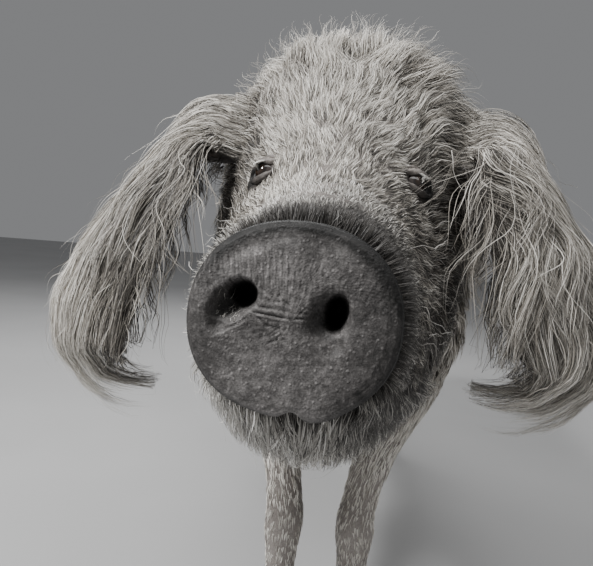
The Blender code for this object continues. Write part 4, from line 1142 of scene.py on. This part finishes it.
def strip_mesh(name, points, loops, sizes, shade, unwrap, finish):
    data = bpy.data.meshes.new(name)
    data.vertices.add(len(points))
    data.vertices.foreach_set("co", points.astype(np.float32).ravel())
    data.loops.add(len(loops))
    data.loops.foreach_set("vertex_index", loops.astype(np.int32))
    data.polygons.add(len(sizes))
    data.polygons.foreach_set("loop_start", np.concatenate([[0], np.cumsum(sizes)[:-1]]).astype(np.int32))
    data.update(calc_edges=True)
    add_tone(data, shade)
    chart = data.uv_layers.new(name="OFBake")
    chart.data.foreach_set("uv", unwrap[loops].astype(np.float32).ravel())
    made = bpy.data.objects.new(name, data)
    bpy.context.scene.collection.objects.link(made)
    return dress(made, finish)


# %% [markdown]
# ## The colour of the hair
#
# The picture has no colour in it, only light and dark. The coat is a pale, dull straw that is nearly white at
# the tips and on the brow, and darker at the roots, where less light gets in. Each hair's own tone was stored
# with it, so neighbouring hairs differ, and a broad noise adds slightly darker and yellower patches.

# %% Hair material
def hair_finish(name, dark, middle, pale):
    made = Finish(name, Roughness=0.5, Specular_IOR_Level=0.35)
    own = made.stored()
    patches = made.noise(7, 3)
    made.use(Base_Color=made.colours(own * 0.85 + patches * 0.30, (
        (0.15, dark), (0.52, middle), (0.90, pale))))
    return made


straw = hair_finish("straw_hair", (0.040, 0.035, 0.030), (0.37, 0.34, 0.295), (0.86, 0.825, 0.76))
whiskers = hair_finish("white_bristle", (0.045, 0.041, 0.037), (0.42, 0.40, 0.365), (0.90, 0.88, 0.84))

# %% [markdown]
# ## The coat of the head
#
# Round the snout the hair is fine and short, and it points away from the disc. The marks above give it a dark
# collar behind the disc, painted shade on the cheeks and round the eyes, and a darker left side that is
# partly painted shade. It grows longer over the cheeks, where it lies back and down, and longest on the brow
# and crown, where it stands up in soft tufts. Below the disc it hangs as a beard of bristles.

# %% Hair on the face
trunk = Hide(trunk_skin, (0.0, 1.65), (-math.pi, math.pi), (0.006, 0.02), 1)
eye_fronts = [np.array(mirrored(EYE_CENTRE, side)) + np.array(eye_axes(side)[2]) * 0.011 for side in (-1, 1)]


def clear_of_eyes(hair, reach):
    """True for the hairs that leave the eyes uncovered."""
    path = hair[0]
    near = [np.linalg.norm(path - front, axis=-1).min(1) for front in eye_fronts]
    return np.minimum(*near) > reach


def lie(angle, down):
    """The way the coat lies: straight back on top, and down towards the belly at the sides."""
    degrees = np.degrees(np.abs(angle))
    return np.sign(angle) * np.radians(np.interp(degrees, (0, 40, 90, 130, 180), down))


def face_hair(name, spacing, y_range, b_range, length, lift, down, hairs, radius, width, finish, steps,
              clearance, tone=(0.5, 0.10, 0.34), sweep=0.0, lean=0.0, **more):
    """Hair on both sides of the head alike, but sown anew for each. length and lift are functions of y."""
    rng = np.random.default_rng(list(name.encode()))
    pairs = []
    for side in (-1, 1):
        span = (b_range[0], b_range[1]) if side > 0 else (-b_range[1], -b_range[0])
        pairs.append(trunk.sow(rng, spacing, *y_range, *span))
    y, angle = np.concatenate(pairs, 1)
    heading = lie(angle, down) + 0.22 * np.sin(y * 60 + angle * 5) * ramp(y, 0.12, 0.2)
    heading = heading + np.sign(angle) * 0.8 * ramp(y, 0.25, 0.33) * ramp(np.abs(angle), 0.35, 0.9) + sweep
    leaning = 1 + lean * np.sin(angle)
    hair = comb(trunk, rng, y, angle, length(y) * leaning, heading, lift(y) * leaning, hairs, radius,
                steps=steps, **more)
    strips(name, trunk, hair, rng, width, finish, tone, 0.45, clear_of_eyes(hair, clearance))


face_hair("coat_rim", 0.0021, (0.0165, 0.052), (0.0, 2.4), lambda y: 0.0075 + 0.05 * (y - 0.016),
          lambda y: 0.0085 * (1 - ramp(y, 0.02, 0.055)) + 0.0030, (0, 8, 18, 30, 20), 6, 0.0024, 0.00038,
          whiskers, 4, 0.013, tight=0.1, sway=0.8, ragged=0.7, stir=0.35, tone=(0.43, 0.05, 0.18))
face_hair("coat_muzzle", 0.0034, (0.048, 0.130), (0.0, 2.2), lambda y: 0.0090 + 0.06 * (y - 0.05),
          lambda y: 0.0036 + 0 * y, (0, 12, 24, 34, 20), 7, 0.0030, 0.00048, whiskers, 4,
          0.013, tight=0.2, sway=0.5, ragged=0.5, stir=0.25, tone=(0.46, 0.06, 0.26))
face_hair("coat_chin", 0.0058, (0.018, 0.24), (2.05, math.pi), lambda y: 0.022 + 0.10 * (y - 0.016),
          lambda y: 0.016 + 0 * y, (0, 8, 18, 30, 10), 8, 0.0045, 0.0006, whiskers, 5, 0.016,
          tight=0.3, sway=0.5, stir=0.2, tone=(0.42, 0.08, 0.24))
face_hair("coat_brow", 0.0050, (0.112, 0.262), (0.0, 1.36), lambda y: 0.014 + 0.12 * (y - 0.112),
          lambda y: 0.45 * coat_on_back(y) + 0.0035, (0, 16, 34, 38, 34), 9, 0.0046, 0.00050, straw, 5,
          0.0128, sweep=0.10, tight=0.20, curl=0.0003, sway=0.25, stir=0.10,
          locks=(0.018, 0.35, 0.001, 1.2, 0.15))
face_hair("coat_crown", 0.0070, (0.250, 0.40), (0.0, 1.40), lambda y: 0.040 + 0.16 * (y - 0.25),
          lambda y: 0.74 * coat_on_back(y) + 0.003, (0, 14, 28, 34, 30), 11, 0.0062, 0.00058, straw, 6, 0.013,
          sweep=0.22, lean=0.36, tight=0.30, curl=0.0006, sway=0.15, stir=0.06,
          locks=(0.030, 0.40, 0.003, 1.0, 0.12))
face_hair("coat_cheeks", 0.0066, (0.115, 0.385), (1.22, 2.75), lambda y: 0.020 + 0.08 * (y - 0.115),
          lambda y: 0.007 + 0 * y, (0, 20, 34, 40, 20), 8, 0.0055, 0.00060, straw, 5, 0.0115,
          tight=0.35, curl=0.0005, sway=0.35, tone=(0.42, 0.10, 0.34), locks=(0.024, 0.4, 0.002, 1.2, 0.3))
face_hair("coat_whiskers", 0.015, (0.025, 0.20), (0.9, 2.6), lambda y: 0.045 + 0 * y,
          lambda y: 0.022 + 0 * y, (0, 8, 18, 30, 10), 1, 0.006, 0.00042, whiskers, 9, 0.02,
          curl=0.003, sway=0.8, tone=(0.7, 0.1, 0.1))
face_hair("coat_wisps", 0.010, (0.26, 0.40), (0.0, 1.2), lambda y: 0.052 + 0 * y,
          lambda y: 0.037 + 0 * y, (0, 14, 28, 34, 30), 2, 0.008, 0.00028, straw, 9, 0.02,
          sweep=0.2, lean=0.2, curl=0.002, sway=0.7, tone=(0.55, 0.1, 0.1))

# %% Lashes over the upper lid
LASH_REACH = EYE_RADIUS + 0.0020
for side, hand in HANDS:
    rng = np.random.default_rng(90 + side)
    sideways, upward, looks = (np.array(axis) for axis in eye_axes(side))

    def lid_dome(a, b, side=side, sideways=sideways, upward=upward, looks=looks):
        """A dome before the eyeball: a is the angle from where the eye looks, b the angle round it."""
        a, b = (part[..., None] for part in paired(a, b))
        ring = sideways * np.cos(b) + upward * np.sin(b)
        return mirrored(EYE_CENTRE, side) + LASH_REACH * (looks * np.cos(a) + ring * np.sin(a))

    dome = Hide(lid_dome, (0, 1.6), (0, math.pi), (0.05, 0.05), 1)
    angle = np.radians(rng.uniform(38, 142, 70))
    edge = 1 / np.hypot(np.cos(angle) / LID_WIDE, np.sin(angle) / LID_HIGH)
    away = np.arcsin(np.minimum(edge / LASH_REACH, 0.95))
    hair = comb(dome, rng, away, angle, rng.uniform(0.014, 0.021, 70), math.pi, 0.0060, 1, 0.0006, steps=7,
                sway=0.5)
    strips(f"coat_lashes_{hand}", dome, hair, rng, 0.0005, whiskers, (0.8, 0.1, 0.1), 0.1)

# %% Fine hairs in the nostrils
def disc_face(x, z):
    x, z = paired(x, z)
    return np.stack([x, SNOUT_TILT * z - 0.0108 - disc_relief(x, z), SNOUT_HEIGHT + z], -1)


pad = Hide(disc_face, (-0.05, 0.05), (-0.05, 0.05), (0.0004, 0.0004), -1)
# Each tuft: where the hairs stand, half sizes of that patch, heading, length, how many
NOSTRIL_TUFTS = (((-0.0310, -0.0020), (0.0060, 0.0025), 1.15, 0.0055, 40),
                 ((-0.0290, 0.0125), (0.0045, 0.0010), -1.95, 0.0150, 6))
for index, (place, spread, heading, reach, count) in enumerate(NOSTRIL_TUFTS):
    rng = np.random.default_rng(110 + index)
    x, z = np.array(place)[:, None] + np.array(spread)[:, None] * rng.uniform(-1, 1, (2, count))
    hair = comb(pad, rng, x, z, reach * rng.uniform(0.6, 1.2, count), heading, 0.0022, 1, 0.0004, curl=0.0003,
                steps=7, sway=0.5, stir=0.25)
    strips(f"coat_nostril_{index + 1}", pad, hair, rng, 0.00032, whiskers, (0.44, 0.1, 0.12), 0.4)

# %% [markdown]
# ## The long hair of the ears
#
# Each ear carries a curtain of hair as long as a hand. It starts all over the flap's outer face, runs down it
# in waves, and goes on past the flap's end, where it curls in towards the cheek. Thinner hair grows on the
# inner face.

# %% Hair on the ears
EAR_LOCKS = {1: (0.040, 0.62, 0.016, 1.0, 0.4), -1: (0.034, 0.50, 0.006, 0.8, 0.3)}
ear_marks = np.concatenate([[0], np.cumsum(np.linalg.norm(np.diff(EAR_MIDRIB, axis=0), axis=1))])
# Painted shade: the ear hair darker towards the cheek, far more on the pig's right ear than on its left.
EAR_PAINTED_SHADE = {1: -0.08, -1: -0.34}
SIDE_LIMIT = 0.2950


def near_enough(hair):
    """Which hairs stay within the side limit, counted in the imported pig's coordinates."""
    return np.abs(hair[0][..., 0] + SHIFT[0]).max(1) < SIDE_LIMIT


for side, hand in HANDS:
    rng = np.random.default_rng(20 + side)
    outer = Hide(lambda a, b, side=side: ear_face(a, b, side, 1.0), (-1, 8), (-1.1, 1.1), (0.05, 0.05), -side)
    station, across = outer.sow(rng, 0.0098, -0.9, 4.9, -1.03, 1.03)
    length = np.interp(station, (-1, 1.5, 3, 4.9), (0.045, 0.100, 0.150, 0.170))
    length = length * rng.uniform(0.75, 1.1, station.shape)
    left_over = ear_marks[-1] - np.interp(station, STATIONS, ear_marks)
    left_over = left_over * rng.uniform(0.80, 1.0, station.shape)
    hair = comb(outer, rng, station, across, np.minimum(length, left_over), 0.06 * across,
                np.interp(station, (0, 1.5), (0.005, 0.011)), 19, 0.0075, stir=0.07, tight=0.35,
                curl=0.0015, waves=1.2, steps=10, sway=0.12, ragged=0.45,
                locks=(*EAR_LOCKS[side], 0.15 + 0.85 * ramp(station, 0.3, 1.8)))
    hair = (*hair[:5], hair[5] + EAR_PAINTED_SHADE[side] * ramp(-across, -0.25, 0.75) * ramp(station, 0.3, 1.5))
    strips(f"coat_ear_{hand}", outer, hair, rng, 0.00062, straw, (0.55, 0.06, 0.30), 0.45, near_enough(hair))
    inner = Hide(lambda a, b, side=side: ear_skin(a, b, side, -1.0), (0, 7), (-1.1, 1.1), (0.05, 0.05), side)
    station, across = inner.sow(rng, 0.014, 0.6, 4.7, -0.98, 0.98)
    hair = comb(inner, rng, station, across, rng.uniform(0.04, 0.10, station.shape), 0.3 * across,
                0.012, 8, 0.010, tight=0.5, curl=0.005, waves=1.2, steps=8, sway=0.8, ragged=0.4)
    strips(f"coat_ear_inside_{hand}", inner, hair, rng, 0.0008, straw, (0.34, 0.12, 0.16))
    station, across = outer.sow(rng, 0.022, 0.5, 5.0, -1.05, 1.05)
    hair = comb(outer, rng, station, across, rng.uniform(0.06, 0.13, station.shape), 0.4 * across,
                0.020, 1, 0.010, curl=0.009, waves=0.9, steps=14, sway=0.7)
    strips(f"coat_ear_strays_{hand}", outer, hair, rng, 0.0005, straw, (0.62, 0.1, 0.1),
           keep=near_enough(hair))
    station, across = outer.sow(rng, 0.0090, 0.6, 3.6, -1.05, -0.72)
    hair = comb(outer, rng, station, across, rng.uniform(0.07, 0.14, station.shape),
                -rng.uniform(0.0, 0.55, station.shape), 0.006, 3, 0.008, curl=0.006, waves=0.8, steps=12,
                sway=0.7, stir=0.2)
    strips(f"coat_ear_fringe_{hand}", outer, hair, rng, 0.0005, straw, (0.46, 0.1, 0.16),
           keep=near_enough(hair))

# %% [markdown]
# ## The coat of the body
#
# From the neck back the coat is long and a little wavy, parted along the spine, and it lies back and down.
# Seen from a few steps away the tufts matter more than the hairs, so these strips are wider.

# %% Hair on the trunk
BODY_COATS = (("coat_neck", 0.37, 0.61, 0.020), ("coat_shoulders", 0.61, 0.87, 0.023),
              ("coat_flanks", 0.87, 1.25, 0.027), ("coat_rump", 1.25, 1.628, 0.026))
for index, (name, start, end, spacing) in enumerate(BODY_COATS):
    rng = np.random.default_rng(40 + index)
    y, angle = trunk.sow(rng, spacing, start, end, -math.pi, math.pi)
    length = np.interp(y, (0.37, 0.6, 1.2, 1.5, 1.63), (0.060, 0.085, 0.085, 0.07, 0.045))
    length = length * (1 - 0.45 * ramp(np.abs(angle), 1.9, 2.9)) * rng.uniform(0.8, 1.15, y.shape)
    hair = comb(trunk, rng, y, angle, length, lie(angle, (6, 28, 46, 40, 15)), coat_depth(y, angle) * 0.80,
                15, 0.018, tight=0.65, curl=0.004, waves=1.3, steps=5, sway=0.3, locks=(0.055, 0.4, 0.006))
    strips(name, trunk, hair, rng, 0.0023, straw, (0.50, 0.08, 0.17), 0.40)

# Round the root of the tail the hair is shorter, and fills in what the long tufts part from
rng = np.random.default_rng(46)
y, angle = trunk.sow(rng, 0.016, 1.53, RUMP_END, -math.pi, math.pi)
SHORT_TUFT = {"tight": 0.5, "curl": 0.002, "steps": 5, "sway": 0.5, "stir": 0.3}
hair = comb(trunk, rng, y, angle, rng.uniform(0.030, 0.050, y.shape), lie(angle, (0, 20, 40, 40, 15)),
            0.007, 11, 0.015, **SHORT_TUFT)
strips("coat_dock", trunk, hair, rng, 0.0021, straw, (0.50, 0.10, 0.17), 0.40)

# The trunk ends in a small flat face, which gets its own hairs
end_ring = trunk_skin(RUMP_END, np.linspace(-math.pi, math.pi, 65)[:-1])
end_middle, end_reach = end_ring.mean(0), np.abs(end_ring - end_ring.mean(0)).max()
print("flat end of the trunk at", end_middle.round(3), "reaching", end_reach.round(3))


def end_face(x, z):
    """The flat face as a skin, with its own two coordinates."""
    x, z = paired(x, z)
    return end_middle + np.stack([x, 0 * x, z], -1)


plate = Hide(end_face, (-end_reach, end_reach), (-end_reach, end_reach), (0.001, 0.001), 1)
x, z = rng.uniform(-end_reach, end_reach, (2, 90))
hair = comb(plate, rng, x, z, rng.uniform(0.025, 0.045, x.shape), -math.pi / 2, 0.017, 11, 0.010,
            **SHORT_TUFT)
strips("coat_dock_end", plate, hair, rng, 0.0021, straw, (0.50, 0.10, 0.17), 0.40)

# %% [markdown]
# ## Legs and tail
#
# The legs' hair is short, and lies down the leg. The tail is covered all round, and its hair is longer at the
# tip.

# %% Hair on the legs
for index, leg in enumerate(LEGS):
    rng = np.random.default_rng(60 + index)
    rows, side, stance = LEGS[leg]
    shank = Hide(lambda a, b, leg=leg: leg_skin(leg, -a, b), (-0.7, 0.0), (-math.pi, math.pi),
                 (0.004, 0.05), -1)
    drop, angle = shank.sow(rng, 0.0115, -0.47, -HOOF_TOP - 0.006, -math.pi, math.pi)
    length = np.interp(-drop, (0.04, 0.1, 0.26, 0.47), (0.010, 0.011, 0.016, 0.045))
    hair = comb(shank, rng, drop, angle, length, 0.0, 0.001 + length * 0.11, 6, 0.007, tight=0.3, steps=4,
                sway=0.4)
    off_the_floor = hair[0][..., 2].min(1) > 0.012
    strips(f"coat_leg_{leg}", shank, hair, rng, 0.0016, straw, (0.62, 0.10, 0.18), 0.2, off_the_floor)

    # The trunk's coat lies under them, so they carry their own on the side that faces outwards
    top = rows[0][0]
    side_on = 0.0 if side > 0 else math.pi
    drop, angle = shank.sow(rng, 0.019, 0.02 - top, -0.42, side_on - 2.3, side_on + 2.3)
    hair = comb(shank, rng, drop, angle, np.interp(-drop, (0.42, 0.52, 0.62), (0.028, 0.055, 0.075)), 0.0,
                np.interp(-drop, (0.42, 0.56), (0.004, 0.014)), 12, 0.016,
                tight=0.6, curl=0.003, waves=1.2, steps=5, sway=0.4, locks=(0.05, 0.4, 0.006))
    strips(f"coat_upper_leg_{leg}", shank, hair, rng, 0.0023, straw, (0.50, 0.08, 0.17), 0.40)

# %% Hair on the tail
rng = np.random.default_rng(70)
dock = Hide(tail_skin, (0, TAIL_LENGTH), (-math.pi, math.pi), (0.004, 0.05), -1)
way, angle = dock.sow(rng, 0.0085, 0.0, TAIL_LENGTH - 0.005, -math.pi, math.pi)
length = np.interp(way, (0, 0.12, 0.2, TAIL_LENGTH), (0.020, 0.030, 0.05, 0.06))
hair = comb(dock, rng, way, angle, length, 0.0, 0.006, 7, 0.006, tight=0.5, curl=0.002, steps=7, sway=0.5)
strips("coat_tail", dock, hair, rng, 0.0018, straw, (0.56, 0.12, 0.22), 0.30)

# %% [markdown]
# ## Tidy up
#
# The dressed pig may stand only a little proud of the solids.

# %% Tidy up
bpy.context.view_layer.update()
bpy.data.collections.remove(scraps)
